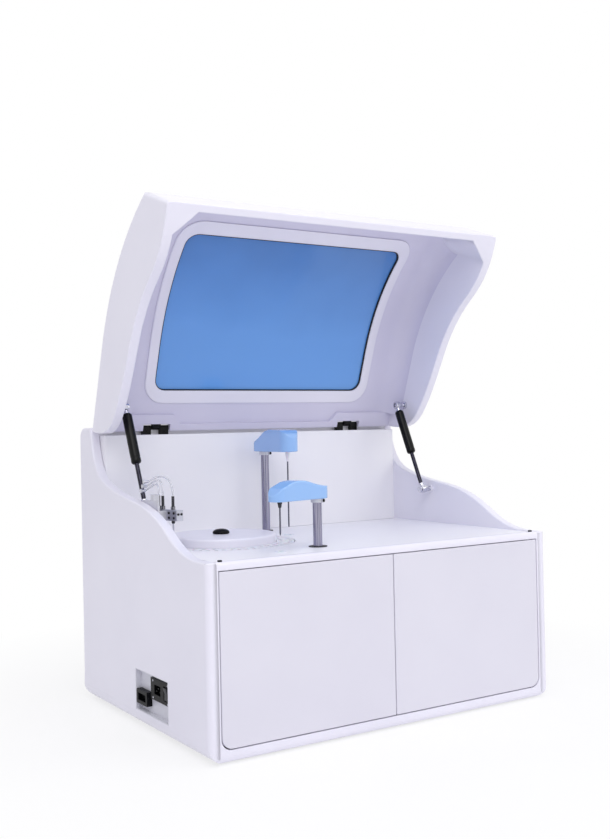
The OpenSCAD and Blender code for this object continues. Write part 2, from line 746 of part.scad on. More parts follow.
// Thin hoses from the needles over to fittings on the wall
hose_r = 1.5;
fit_l = 9;
wall_fit = [for (i = [0:2]) [-x_in + fit_l, 18 - 6 * i, 402 + 8 * i]];
function unit(v) = v / norm(v);
function hose_ring(c, t, r) = let (u = unit(cross(t, [0.3, 1, 0.1])), w = cross(t, u))
    [for (j = [0:7]) c + r * (cos(45 * j) * u + sin(45 * j) * w)];
module hose(p, n) {
    pts = concat(curve(p, n), [p[3]]);
    dirs = [for (i = [0:n]) unit(pts[min(n, i + 1)] - pts[max(0, i - 1)])];
    rings = [for (i = [0:n]) hose_ring(pts[i], i == 0 ? [0, 0, 1] : i == n ? [-1, 0, 0] : dirs[i], hose_r)];
    polyhedron([for (r = rings) each r], concat([[for (j = [0:7]) j]],
        [for (i = [0:n - 1], j = [0:7]) let (a = 8 * i + j, b = 8 * i + (j + 1) % 8)
            each [[a, a + 8, b], [b, a + 8, b + 8]]],
        [[for (j = [7:-1:0]) 8 * n + j]]));
}
module wash_tubes() {
    color("#c9d2dc") for (i = [0:2]) {
        top = [wash_pts[i][0], wash_pts[i][1], wash_top + 24];
        hose([top, top + [0, 0, 26 + 6 * i], wall_fit[i] + [22, 0, 14], wall_fit[i]], 14);
    }
}

module power_panel() {
    d = 10;
    y0 = power_front;
    y1 = power_front + power_w;
    z0 = power_low;
    z1 = power_low + power_h;
    color("#dcdce2") difference() {
        box([-x_out, y0, z0], [-x_out + d + 2, y1, z1]);
        box([-x_out - 1, y0 + 1.5, z0 + 1.5], [-x_out + d, y1 - 1.5, z1 - 1.5]);
        box([-x_out, inlet_y0 + 2, inlet_z0 + 2], [-x_out + d + 3, inlet_y1 - 2, inlet_z1 - 2]);
        box([-x_out, port_y0 + 3, port_z0 + 3], [-x_out + d + 3, port_y0 + port_w - 3, port_z0 + port_h - 3]);
    }
}
inlet_y0 = power_front + 6;
inlet_y1 = inlet_y0 + 70;
inlet_z0 = power_low + 28;
inlet_z1 = inlet_z0 + 36;
inlet_x = -x_out + 4;
switch_y = inlet_y0 + 13;
socket_y = inlet_y0 + 44;
inlet_zc = (inlet_z0 + inlet_z1) / 2;
// Appliance inlet with its three pins and the bezel of the rocker switch
module power_inlet() {
    back = -x_out + 40;
    color(black) {
        difference() {
            union() {
                box([inlet_x, inlet_y0, inlet_z0], [-x_out + 10, inlet_y1, inlet_z1]);
                box([-x_out + 10 - eps, inlet_y0 + 2, inlet_z0 + 2], [back, inlet_y1 - 2, inlet_z1 - 2]);
            }
            box([inlet_x - 1, socket_y - 12, inlet_zc - 8], [inlet_x + 16, socket_y + 12, inlet_zc + 8]);
            box([inlet_x - 1, switch_y - 7, inlet_zc - 12], [inlet_x + 14, switch_y + 7, inlet_zc + 12]);
        }
        for (p = [[-7, -2.5], [7, -2.5], [0, 2.5]])
            box([inlet_x + 2, socket_y + p[0] - 2, inlet_zc + p[1] - 1],
                [inlet_x + 16 + eps, socket_y + p[0] + 2, inlet_zc + p[1] + 1]);
        for (s = [-1, 1]) translate([inlet_x + 4, switch_y + s * 6, inlet_zc]) rotate([90, 0, 0])
            cylinder(r = 1.2, h = 3, center = true);
    }
}
// Rocker, tipped to its off side
module power_switch() {
    color("#2a2a30") translate([inlet_x + 4, switch_y, inlet_zc]) rotate([0, -7, 0])
        difference() {
            rotate([90, 0, 0]) translate([0, 0, -6]) linear_extrude(12)
                polygon([[-5, -10.5], [-3.4, 0], [-5, 10.5], [2, 10.5], [7, 3], [7, -3], [2, -10.5]]);
            rotate([90, 0, 0]) cylinder(r = 1.25, h = 14, center = true);
        }
}
port_y0 = power_front + 84;
port_w = 42;
port_z0 = power_low + 12;
port_h = 24;
module data_port() {
    color(black) difference() {
        union() {
            box([-x_out, port_y0, port_z0], [-x_out + 10, port_y0 + port_w, port_z0 + port_h]);
            box([-x_out + 10 - eps, port_y0 + 3, port_z0 + 3],
                [-x_out + 24, port_y0 + port_w - 3, port_z0 + port_h - 3]);
        }
        box([-x_out - 1, port_y0 + 6, port_z0 + 6], [-x_out + 8, port_y0 + port_w - 6, port_z0 + port_h - 6]);
    }
}

module strut_wall_studs() {
    color(steel) mirrored() translate([0, strut_low_y, deck_z + strut_low_z]) {
        rod_x(stud_r, strut_x - 6, x_out - 4);
        rod_x(stud_r + 2.5, strut_x - 9, strut_x - 6);
        rod_x(9, x_in - 4, x_in);
    }
}

// Lid, drawn closed and turned about the hinge axis
module open_lid() {
    translate([0, hinge_y, hinge_z]) rotate([-lid_open, 0, 0])
        translate([0, -hinge_y, -hinge_z]) children();
}
lid_c = [lid_bend_y, lid_z - lid_r];
// Outline along X of the lid's outside, the outer face at up = 0
module lid_profile(depth) {
    polygon(concat([[-x_out, -depth]], arc([-x_out + lid_edge_r, -lid_edge_r], lid_edge_r, 180, 90, 6),
        arc([x_out - lid_edge_r, -lid_edge_r], lid_edge_r, 90, 0, 6), [[x_out, -depth]]));
}
// Carries an outline along the lid's flat top, then round its front curve
module along_lid(drop, back_y, depth) {
    translate([0, back_y, lid_z - drop]) rotate([90, 0, 0])
        linear_extrude(back_y - lid_bend_y + eps) children();
    translate([0, lid_c[0], lid_c[1]]) rotate([180, 0, 0]) rotate([0, 90, 0])
        rotate_extrude(angle = 65, $fn = 240) translate([lid_r - drop, 0]) mirror([1, -1]) children();
}
// Section of the lid's skin between two depths below its outer face
module skin_section(a, b) {
    translate([lid_bend_y, lid_z - b]) square([lid_back_y - lid_bend_y, b - a]);
    intersection() {
        translate(lid_c) difference() {
            circle(r = lid_r - a, $fn = 240);
            circle(r = lid_r - b, $fn = 240);
        }
        translate([y_front, lid_z - 160]) square([lid_bend_y - y_front + eps, 161]);
    }
}
module below_skin(a) {
    translate([lid_bend_y - eps, 0]) square([lid_back_y - lid_bend_y + 40, lid_z - a]);
    intersection() {
        translate(lid_c) circle(r = lid_r - a, $fn = 240);
        translate([y_front - 40, 0]) square([lid_bend_y - y_front + 40, lid_z]);
    }
    translate([y_front - 40, 0]) square([lid_bend_y - y_front + 40, lid_z - 160]);
}
// The lid's front edge meets its curve at this height
lip_y = y_front + lip_round;
lip_z = lid_c[1] + sqrt(pow(lid_r, 2) - pow(lip_y - lid_bend_y, 2));
rim = concat([[lid_back_y, lid_z + 20], [lid_back_y, rear_z - 1.5]],
    [for (i = [1:len(sweep) - 1]) sweep[i] + [-2.2, lid_gap]],
    [[y_front, deck_z + lid_gap]],
    curve([[y_front, lip_z - 30], [y_front, lip_z - 18], [lip_y - 10, lip_z - 8],
        [lip_y, lip_z]], 8),
    [[lip_y, lip_z], [lip_y, lid_z + 20]]);
// Upright prism over a rectangle with rounded corners
module plan_prism(x, y0, y1, r) {
    translate([0, 0, 200]) linear_extrude(400) polygon(concat(
        arc([x - r, y1 - r], r, 0, 90, 6), arc([-x + r, y1 - r], r, 90, 180, 6),
        arc([-x + r, y0 + r], r, 180, 270, 6), arc([x - r, y0 + r], r, 270, 360, 6)));
}
// Prisms over the window's three outlines: clear opening, glass and frame
module clear_prism(inset) {
    plan_prism(win_x - inset, win_front + inset, win_back - inset, win_r - inset);
}
module glass_prism(grow) {
    plan_prism(win_x + glass_lap + grow, win_front - glass_end_lap - grow,
        win_back + glass_end_lap + grow, win_r + grow);
}
module trim_prism() {
    plan_prism(win_x + trim_w, win_front - trim_end_w, win_back + trim_end_w, win_r + trim_w);
}
// Plan of the hollow inside the lid, with gussets in the front corners
module lid_hollow(back_y) {
    linear_extrude(lid_z + 100) polygon([[-cheek_in, back_y], [-cheek_in, lip_in + gusset],
        [-cheek_in + gusset, lip_in], [cheek_in - gusset, lip_in],
        [cheek_in, lip_in + gusset], [cheek_in, back_y]]);
}
module hinge_notch(front, low) {
    mirrored() box([hinge_x - hinge_l / 2 - 1, front, low],
        [hinge_x + hinge_l / 2 + 1, lid_back_y + 1, lid_z + 1]);
}
module lid_shell() {
    color(white) open_lid() difference() {
        intersection() {
            along_x(-x_out, x_out) polygon(rim);
            along_lid(0, lid_back_y) lid_profile(260);
            linear_extrude(lid_z + 100) polygon(concat(
                arc([-x_out + front_r, y_front + front_r], front_r, 180, 270, 8),
                arc([x_out - front_r, y_front + front_r], front_r, 270, 360, 8),
                [[x_out, lid_back_y], [-x_out, lid_back_y]]));
        }
        intersection() {
            along_x(-cheek_in, cheek_in) below_skin(lid_t);
            lid_hollow(lid_back_y + 20);
        }
        glass_prism(glass_gap);
        hinge_notch(hinge_y - barrel_r - 1, lid_z - 20);
        for (s = [-1, 1]) lid_stud_hole(s);
    }
}
module lid_stud_hole(s) {
    translate([0, hinge_y - strut_up_y, hinge_z - strut_up_z])
        rod_x(stud_r, s > 0 ? cheek_in - 1 : -x_out + 3, s > 0 ? x_out - 3 : -cheek_in + 1);
}
module skin_piece(a, b) { along_x(-cheek_in, cheek_in) skin_section(a, b); }
module window_glass() {
    color("#4f8bd6") open_lid() intersection() {
        skin_piece(lid_t - glass_t, lid_t);
        glass_prism(0);
    }
}
module window_frame() {
    color(white) open_lid() difference() {
        intersection() { skin_piece(lid_t, lid_t + trim_t); trim_prism(); }
        clear_prism(0);
    }
}
module window_gasket() {
    color(black) open_lid() difference() {
        intersection() { skin_piece(lid_t, lid_t + trim_t - 2); clear_prism(0); }
        clear_prism(gasket_w);
    }
}
// Liner: a ceiling with coves at the sides and a stepped bar along the rear edge
module lid_liner() {
    low = lid_t + liner_t;
    bar_front = lid_back_y - pad_d;
    pad_x = hinge_x - hinge_l / 2 - 6;
    color(liner_white) open_lid() difference() {
        union() {
            intersection() {
                skin_piece(lid_t, low);
                lid_hollow(lid_back_y);
            }
            intersection() {
                along_lid(low, bar_front) {
                    cove_section(cheek_in - cove_r, cove_r);
                    mirror([1, 0]) cove_section(cheek_in - cove_r, cove_r);
                }
                lid_hollow(lid_back_y);
                along_x(-cheek_in, cheek_in) polygon(rim);
            }
            translate([0, 0, lid_z - low - rear_bar_t]) linear_extrude(rear_bar_t + eps) polygon([
                [-cheek_in, lid_back_y], [-cheek_in, bar_front], [-pad_x, bar_front],
                [-pad_x + 16, lid_back_y - bar_d], [pad_x - 16, lid_back_y - bar_d],
                [pad_x, bar_front], [cheek_in, bar_front], [cheek_in, lid_back_y]]);
        }
        trim_prism();
        hinge_notch(hinge_y - 10, lid_z - 20);
        mirrored() hinge_tongue(hinge_y - 9.9);
    }
}
// Tongue of a hinge leaf, held inside the liner's rear bar
module hinge_tongue(back) {
    box([hinge_x - leaf_half, hinge_y - 26, bar_z + 2], [hinge_x + leaf_half, back, bar_z + 5]);
}
// Square corner less a quarter circle, in (x, up), the ceiling at up = 0
module cove_section(x, r) {
    difference() {
        translate([x, -r]) square([r, r + eps]);
        translate([x, -r]) circle(r = r, $fn = 96);
    }
}
// Hinges: two fixed end knuckles on the ledge, one middle knuckle on the lid
knuckle = hinge_l / 3;
leaf_half = knuckle / 2 - part_gap;
bar_z = lid_z - lid_t - liner_t - rear_bar_t;
module lid_hinge_bases() {
    color(black) mirrored() {
        for (x = [hinge_x - hinge_l / 2, hinge_x + hinge_l / 2 - knuckle + part_gap]) {
            translate([0, hinge_y, hinge_z]) rod_x(barrel_r, x, x + knuckle - part_gap);
            box([x, hinge_y - barrel_r, ledge_z], [x + knuckle - part_gap, hinge_y + barrel_r, hinge_z]);
        }
        translate([0, hinge_y, hinge_z]) rod_x(pin_r, hinge_x - hinge_l / 2, hinge_x + hinge_l / 2);
    }
}
// Lid half of a hinge: a knuckle on a web, with a tongue in the rear bar
module lid_hinge_leaves() {
    color(black) open_lid() mirrored() difference() {
        union() {
            translate([hinge_x, hinge_y, hinge_z]) rod_x(barrel_r, -leaf_half, leaf_half);
            box([hinge_x - leaf_half, hinge_y - 10, bar_z + 1.5],
                [hinge_x + leaf_half, hinge_y - 1, lid_z - lid_t]);
            hinge_tongue(hinge_y - 10 + eps);
        }
        translate([hinge_x, hinge_y, hinge_z]) rod_x(pin_r + run_gap, -hinge_l, hinge_l);
    }
}
module lid_strut_studs() {
    color(steel) open_lid() mirrored()
        translate([0, hinge_y - strut_up_y, hinge_z - strut_up_z]) {
            rod_x(stud_r, strut_x + 6.5, x_out - 3);
            rod_x(8, cheek_in - 3, cheek_in);
        }
}

// Gas struts, drawn along the line between their studs
strut_low = [strut_low_y, deck_z + strut_low_z];
strut_up = opened(hinge_y - strut_up_y, hinge_z - strut_up_z);
strut_dir = strut_up - strut_low;
strut_l = norm(strut_dir);
strut_a = atan2(strut_dir[1], strut_dir[0]);
neck_l = 14;
module on_strut(s) {
    translate([s * strut_x, strut_low[0], strut_low[1]]) rotate([strut_a - 90, 0, 0]) children();
}
module strut_tube(s) {
    on_strut(s) difference() {
        union() {
            color(black) translate([0, 0, strut_l - neck_l - tube_l]) cylinder(r = tube_r, h = tube_l);
            color(steel) translate([0, 0, strut_l - neck_l - eps]) cylinder(r = 4.5, h = neck_l - 4);
            color(steel) translate([0, 0, strut_l]) rod_x(socket_r, -5.5, 5.5);
        }
        translate([0, 0, strut_l - neck_l - tube_l - 1]) cylinder(r = rod_r + run_gap, h = tube_l - 5);
    }
}
module strut_rod(s) {
    color(dark_steel) on_strut(s) difference() {
        union() {
            translate([0, 0, 6]) cylinder(r = rod_r, h = strut_l - neck_l - tube_l + rod_in - 6);
            translate([0, 0, 5]) cylinder(r = 5, h = 7);
            rod_x(socket_r, -5.5, 5.5);
        }
        rod_x(stud_r + run_gap, -10, 10);
    }
}
module left_strut_tube() { strut_tube(-1); }
module left_strut_rod() { strut_rod(-1); }
module right_strut_tube() { strut_tube(1); }
module right_strut_rod() { strut_rod(1); }

// Service bay and rear bay equipment
pump_x = [150, 220];
pump_y = -190;
barrel_z = 120;
module syringe_pumps() {
    color(steel) {
        box([110, pump_y + 26, floor_z], [260, pump_y + 30, 262]);
        for (x = pump_x) {
            translate([x, pump_y, barrel_z]) tube(9, 6.5, 80);
            translate([x, pump_y, barrel_z + 80]) cylinder(r = 11, h = 14);
            for (z = [barrel_z + 6, barrel_z + 64]) difference() {
                box([x - 12, pump_y - 4, z], [x + 12, pump_y + 26 + eps, z + 10]);
                translate([x, pump_y, z - 1]) cylinder(r = 8.9, h = 12);
            }
            box([x - 22, pump_y + 4, 30], [x + 22, pump_y + 26 + eps, 60]);
        }
    }
}
module plunger(x) {
    color("white") translate([x, pump_y, 0]) {
        translate([0, 0, barrel_z + 30]) cylinder(r = 6.42, h = 10);
        translate([0, 0, 84]) cylinder(r = 2.5, h = barrel_z - 84 + 31);
        translate([0, 0, 78]) cylinder(r = 10, h = 6);
    }
}
module sample_plunger() { plunger(pump_x[0]); }
module reagent_plunger() { plunger(pump_x[1]); }
module wash_pumps() {
    color(dark_steel) for (x = [-270, -180]) translate([x, -180, floor_z]) {
        box([-30, -24, 0], [30, 24, 8]);
        translate([0, 0, 7.9]) cylinder(r = 22, h = 52);
        translate([0, 0, 59.8]) cylinder(r = 27, h = 22);
    }
}
module power_supply() { color(steel) box([90, bay_y + 8, floor_z], [250, y_back - 12, 90]); }
module control_board() {
    y = bay_y + cab_t + 8;
    color(green) {
        box([-60, y, 130], [x_in - 32, y + 1.6, rear_z - 93]);
        for (p = [[-30, 160], [60, 200], [150, 330], [x_in - 102, 250], [20, 330]])
            box([p[0], y + 1.6 - eps, p[1]], [p[0] + 44, y + 14, p[1] + 36]);
        for (x = [-50, x_in - 42], z = [310, rear_z - 101]) translate([x, y + eps, z]) rotate([90, 0, 0])
            cylinder(r = 3, h = 8 + eps);
    }
}
module photometer() {
    a = -20;
    color(black) translate([table_x, table_y, 0]) rotate([0, 0, a]) {
        box([table_r + 6, -22, deck_low - 52], [table_r + 66, 22, deck_low]);
        translate([table_r + 1.5, 0, deck_low - 14]) rotate([0, 90, 0]) cylinder(r = 6, h = 5);
    }
}
module case_screws() {
    color(dark_steel) for (x = [-x_in + 12, -100, 100, x_in - 12], z = [30, 240, rear_z - 63])
        translate([x, panel_y, z]) rotate([-90, 0, 0]) cylinder(r = 3.5, h = 1.6);
}

base_chassis();
rubber_feet();
left_side_panel();
right_side_panel();
front_frame();
rear_cabinet();
rear_panel();
deck_plate();
power_panel();
power_inlet();
data_port();
lid_hinge_bases();
strut_wall_studs();
wash_bracket();
column_bushings();
lift_frames();
turntable_bearing();
turntable_motor();
power_supply();
control_board();
syringe_pumps();
wash_pumps();
probe_wash_wells();
photometer();
lid_bumpers();
door_hardware();
fan_frame();
case_screws();
fan_rotor();
power_switch();
sample_plunger();
reagent_plunger();
lid_shell();
lid_liner();
window_frame();
window_gasket();
window_glass();
lid_hinge_leaves();
lid_strut_studs();
left_strut_tube();
left_strut_rod();
right_strut_tube();
right_strut_rod();
rear_lift_carriage();
rear_arm_column();
rear_arm_cover();
rear_probe();
front_lift_carriage();
front_arm_column();
front_arm_cover();
front_probe();
turntable_rotor();
cuvette_ring();
reagent_rack();
turntable_cover();
cover_knob();
wash_head();
wash_tubes();
left_door();
right_door();
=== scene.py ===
import json
import math

import bmesh
import bpy
from mathutils import Matrix, Vector


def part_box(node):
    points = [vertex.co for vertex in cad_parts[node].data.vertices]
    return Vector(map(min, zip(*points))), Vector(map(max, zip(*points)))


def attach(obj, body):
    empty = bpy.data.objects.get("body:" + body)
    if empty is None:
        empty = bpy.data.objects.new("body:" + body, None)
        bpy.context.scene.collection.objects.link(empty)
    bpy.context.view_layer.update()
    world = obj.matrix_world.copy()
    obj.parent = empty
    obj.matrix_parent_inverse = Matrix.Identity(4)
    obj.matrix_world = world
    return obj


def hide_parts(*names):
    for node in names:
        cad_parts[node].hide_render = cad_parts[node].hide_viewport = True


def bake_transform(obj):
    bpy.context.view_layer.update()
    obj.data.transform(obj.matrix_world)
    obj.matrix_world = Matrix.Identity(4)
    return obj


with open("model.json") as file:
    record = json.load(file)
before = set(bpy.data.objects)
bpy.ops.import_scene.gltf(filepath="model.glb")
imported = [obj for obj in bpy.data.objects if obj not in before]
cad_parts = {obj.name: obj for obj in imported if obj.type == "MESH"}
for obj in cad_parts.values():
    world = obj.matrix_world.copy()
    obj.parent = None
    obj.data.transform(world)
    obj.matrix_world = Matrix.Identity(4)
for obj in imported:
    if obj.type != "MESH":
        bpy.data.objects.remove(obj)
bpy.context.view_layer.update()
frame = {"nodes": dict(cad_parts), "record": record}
MM = 0.001
CAD_MERGE = 0.002 * MM
# The lid's hinge axis in mm, and how far the lid turns between open and closed
HINGE_Y, HINGE_Z = 196, 511.5
LID_TURN = math.radians(70)
body_of_node = {
    node: body
    for body, nodes in frame["record"]["behaviour"]["bodies"].items()
    for node in nodes
}


# Camera

CAMERA_PLACE = Vector((-1.0605, -1.6543, 0.5046))
CAMERA_YAW = math.radians(32.54)
CAMERA_PITCH = math.radians(0.46)
CAMERA_ROLL = math.radians(-1.20)
CAMERA_LENS = 44.90


def make_camera():
    """The photograph's view, from the front left at the height of the lid's hinges"""
    ahead = Vector((
        math.sin(CAMERA_YAW) * math.cos(CAMERA_PITCH),
        math.cos(CAMERA_YAW) * math.cos(CAMERA_PITCH),
        math.sin(CAMERA_PITCH),
    ))
    level = Vector((math.cos(CAMERA_YAW), -math.sin(CAMERA_YAW), 0))
    upright = level.cross(ahead)
    right = math.cos(CAMERA_ROLL) * level + math.sin(CAMERA_ROLL) * upright
    up = -math.sin(CAMERA_ROLL) * level + math.cos(CAMERA_ROLL) * upright
    data = bpy.data.cameras.new("camera")
    data.lens = CAMERA_LENS
    data.sensor_width = 36
    camera = bpy.data.objects.new("camera", data)
    camera.matrix_world = Matrix((
        (*right[:], 0), (*up[:], 0), (*(-ahead)[:], 0), (0, 0, 0, 1),
    )).transposed()
    camera.location = CAMERA_PLACE
    bpy.context.scene.collection.objects.link(camera)
    bpy.context.scene.camera = camera


make_camera()


# Materials

def linear(code):
    """A colour code such as #E2E1EC as linear RGBA"""
    values = [int(code[i:i + 2], 16) / 255 for i in (1, 3, 5)]
    return [v / 12.92 if v <= 0.04045 else ((v + 0.055) / 1.055) ** 2.4 for v in values] + [1]


def add_node(tree, kind, settings=None, sources=None):
    """Adds a node, gives it its settings and joins its inputs to their sources"""
    node = tree.nodes.new("ShaderNode" + kind)
    for name, value in (settings or {}).items():
        if name == "stops":
            elements = node.color_ramp.elements
            while len(elements) < len(value):
                elements.new(0.5)
            for element, (position, code) in zip(elements, value):
                element.position = position
                element.color = linear(code)
        elif isinstance(name, str) and hasattr(node, name):
            setattr(node, name, value)
        else:
            node.inputs[name].default_value = value
    for name, source in (sources or {}).items():
        tree.links.new(source, node.inputs[name])
    return node


def start_material(name, **settings):
    """A material with its shader set, and the object's own coordinates"""
    material = bpy.data.materials.new(name)
    material.use_nodes = True
    tree = material.node_tree
    shader = tree.nodes["Principled BSDF"]
    for socket, value in settings.items():
        shader.inputs[socket.replace("_", " ")].default_value = value
    return material, tree, shader, tree.nodes.new("ShaderNodeTexCoord").outputs["Object"]


def even_skin(name, light, dark, roughness, grain_mm, depth_mm, **settings):
    """A moulded, painted or enamelled skin: the colour and the sheen drift a little over
    200 mm, and a grain of so many mm stands out by its depth"""
    material, tree, shader, place = start_material(name, **settings)
    drift = add_node(tree, "TexNoise", {"Scale": 5, "Detail": 3}, {"Vector": place})
    colour = add_node(tree, "ValToRGB", {"stops": [(0.3, dark), (0.7, light)]},
        {"Fac": drift.outputs["Fac"]})
    sheen = add_node(tree, "MapRange", {"To Min": roughness - 0.04, "To Max": roughness + 0.04},
        {"Value": drift.outputs["Fac"]})
    grain = add_node(tree, "TexNoise", {"Scale": 1000 / grain_mm, "Detail": 2}, {"Vector": place})
    relief = add_node(tree, "Bump", {"Strength": 0.3, "Distance": depth_mm / 1000},
        {"Height": grain.outputs["Fac"]})
    tree.links.new(colour.outputs["Color"], shader.inputs["Base Color"])
    tree.links.new(sheen.outputs["Result"], shader.inputs["Roughness"])
    tree.links.new(relief.outputs["Normal"], shader.inputs["Normal"])
    return material


def marked_metal(name, light, dark, roughness, mark_mm, stretch, **settings):
    """Bare metal with marks so many mm wide, drawn out along the axes where stretch is small"""
    material, tree, shader, place = start_material(name, Metallic=1, **settings)
    lined = add_node(tree, "Mapping", {"Scale": stretch}, {"Vector": place})
    marks = add_node(tree, "TexNoise", {"Scale": 1000 / mark_mm, "Detail": 2},
        {"Vector": lined.outputs["Vector"]})
    colour = add_node(tree, "ValToRGB", {"stops": [(0.35, dark), (0.65, light)]},
        {"Fac": marks.outputs["Fac"]})
    sheen = add_node(tree, "MapRange", {"To Min": roughness - 0.06, "To Max": roughness + 0.06},
        {"Value": marks.outputs["Fac"]})
    relief = add_node(tree, "Bump", {"Strength": 0.3, "Distance": 0.00002},
        {"Height": marks.outputs["Fac"]})
    tree.links.new(colour.outputs["Color"], shader.inputs["Base Color"])
    tree.links.new(sheen.outputs["Result"], shader.inputs["Roughness"])
    tree.links.new(relief.outputs["Normal"], shader.inputs["Normal"])
    return material


# Housing of reaction-moulded polyurethane, painted satin white. The eye gets a broad soft
# sheen, and a hint of orange peel: about 1 mm across, drawn 2.5 mm so that it shows.
painted_polyurethane = even_skin("painted_polyurethane", "#EEECF7", "#E9E7F3", 0.38, 2.5, 0.03,
    Coat_Weight=0.2, Coat_Roughness=0.2)
# Doors in the same paint, with painted shade: this copy of it is a shade greyer, to darken the doors.
door_paint_painted_shade = even_skin("door_paint_painted_shade", "#E2E0EA", "#DDDBE6", 0.4, 2.5, 0.03,
    Coat_Weight=0.15, Coat_Roughness=0.25)
# Powder-coated sheet steel of the deck and the cabinet: hard, with painted light: its white is lifted
# above the housing paint to brighten the deck. Fine beads of 0.8 mm, drawn 2 mm.
powder_coat_painted_light = even_skin("powder_coat_painted_light", "#F8F7FB", "#F3F2F8", 0.34, 2, 0.04,
    Coat_Weight=0.1, Coat_Roughness=0.2)
# Vacuum-formed ABS liner: a soft, duller skin that takes a lilac shade in its hollows.
formed_abs_liner = even_skin("formed_abs_liner", "#DDDAEB", "#D6D3E7", 0.5, 3, 0.04)
# Injection-moulded gloss ABS of the arm covers: clean pale blue with sharp small highlights.
gloss_blue_abs = even_skin("gloss_blue_abs", "#95BFF3", "#8AB5EE", 0.22, 4, 0.01,
    Coat_Weight=0.5, Coat_Roughness=0.08)
# Spark-eroded black ABS: nearly black with a fine 0.7 mm grain, drawn 1.2 mm.
grained_black_abs = even_skin("grained_black_abs", "#0E0E12", "#08080B", 0.4, 1.2, 0.06,
    Specular_IOR_Level=0.12)
# Glass-filled nylon of the fan, the rocker and the pumps: dark grey, dry and a little mottled.
glass_filled_nylon = even_skin("glass_filled_nylon", "#2C2C33", "#202026", 0.5, 1.5, 0.05)
# Moulded rubber: dull, dark grey, without a highlight.
moulded_rubber = even_skin("moulded_rubber", "#2A2A30", "#1C1C21", 0.8, 1.2, 0.1)
# Stove enamel on the gas cylinders and the hinges: deep black with one long narrow highlight.
black_stove_enamel = even_skin("black_stove_enamel", "#08080B", "#050507", 0.3, 3, 0.01,
    Coat_Weight=0.12, Coat_Roughness=0.05, Specular_IOR_Level=0.12)
# Grey polycarbonate plate in the power recess: even and matt.
grey_polycarbonate = even_skin("grey_polycarbonate", "#DEDEE6", "#D5D5DF", 0.42, 2, 0.03)
# Blow-moulded polyethylene bottles: waxy green, slightly see-through.
waxy_polyethylene = even_skin("waxy_polyethylene", "#3F8260", "#2F6E4A", 0.36, 3, 0.05,
    Subsurface_Weight=0.15, Subsurface_Scale=0.004)
# Natural polypropylene: milky white that glows a little in thin walls.
natural_polypropylene = even_skin("natural_polypropylene", "#F2F2F7", "#E6E7EF", 0.36, 3, 0.03,
    Subsurface_Weight=0.2, Subsurface_Scale=0.004)
# Ground stainless tube of the arm columns: grey bands that run up the tube, 0.6 mm, drawn 2 mm.
ground_stainless = marked_metal("ground_stainless", "#A9A7BA", "#7F7D93", 0.28, 2, (1, 1, 0.02))
# Bright drawn stainless of pins, rods and screws: a clean narrow highlight.
bright_stainless = marked_metal("bright_stainless", "#E2E2EA", "#C2C2CE", 0.16, 1, (1, 1, 0.05))
# Dark needle steel: thin lines that read nearly black against the white deck.
dark_needle_steel = marked_metal("dark_needle_steel", "#6A6978", "#504F5E", 0.3, 1, (1, 1, 0.05))
# Nitrided piston rod: gunmetal, darker than the fittings at its ends.
nitrided_rod = marked_metal("nitrided_rod", "#3A3944", "#26252E", 0.26, 1.5, (1, 0.1, 0.1))
# Zinc-plated sheet: bluish grey with spangle of 6 mm and faint rolling lines.
zinc_plated_sheet = marked_metal("zinc_plated_sheet", "#BCBDC6", "#A2A3AE", 0.42, 6, (1, 0.4, 1))
# Bead-blasted and anodised aluminium: light grey, dull, with a fine 0.8 mm tooth.
anodised_aluminium = marked_metal("anodised_aluminium", "#D6D6DE", "#C2C2CC", 0.44, 0.8, (1, 1, 1))
# Turned aluminium rotor and bearing: rings seen as soft bright streaks.
turned_aluminium = marked_metal("turned_aluminium", "#CFCFD8", "#B2B2BE", 0.34, 2, (1, 1, 0.3))


def tinted_acrylic():
    """Cast acrylic window, tinted blue and polished, with painted shade: the blue is painted
    deeper towards the raised front edge and paler near the hinges. Very slight waves of 25 mm"""
    material, tree, shader, place = start_material("tinted_acrylic", Roughness=0.14,
        Transmission_Weight=0.1, IOR=1.49, Coat_Weight=0.25, Coat_Roughness=0.06)
    low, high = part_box("window_glass")
    split = add_node(tree, "SeparateXYZ", sources={"Vector": place})
    # Painted shade: the blue deepens with height, towards the open lid's raised front edge
    painted_shade_rise = add_node(tree, "MapRange", {"From Min": low.z, "From Max": high.z},
        {"Value": split.outputs["Z"]})
    cloud = add_node(tree, "TexNoise", {"Scale": 7, "Detail": 2}, {"Vector": place})
    shift = add_node(tree, "MapRange", {"To Min": -0.14, "To Max": 0.14},
        {"Value": cloud.outputs["Fac"]})
    level = add_node(tree, "Math", {"operation": "ADD"},
        {0: painted_shade_rise.outputs["Result"], 1: shift.outputs["Result"]})
    colour = add_node(tree, "ValToRGB", {"stops": [
        (0.0, "#6CAAF2"), (0.4, "#68A6F0"), (0.75, "#5894DE"), (1.0, "#4A82C8")]},
        {"Fac": level.outputs["Value"]})
    waves = add_node(tree, "TexNoise", {"Scale": 40, "Detail": 2}, {"Vector": place})
    relief = add_node(tree, "Bump", {"Strength": 0.1, "Distance": 0.0001},
        {"Height": waves.outputs["Fac"]})
    tree.links.new(colour.outputs["Color"], shader.inputs["Base Color"])
    tree.links.new(relief.outputs["Normal"], shader.inputs["Normal"])
    return material


def clear_hose():
    """Extruded fluoropolymer hose: almost clear, with pale edges and faint lengthwise haze"""
    material, tree, shader, place = start_material("clear_hose", Roughness=0.15,
        Transmission_Weight=0.6, IOR=1.36)
    haze = add_node(tree, "TexNoise", {"Scale": 120, "Detail": 2}, {"Vector": place})
    colour = add_node(tree, "ValToRGB", {"stops": [(0.3, "#E4E6EE"), (0.7, "#F4F5F9")]},
        {"Fac": haze.outputs["Fac"]})
    relief = add_node(tree, "Bump", {"Strength": 0.1, "Distance": 0.00003},
        {"Height": haze.outputs["Fac"]})
    tree.links.new(colour.outputs["Color"], shader.inputs["Base Color"])
    tree.links.new(relief.outputs["Normal"], shader.inputs["Normal"])
    return material


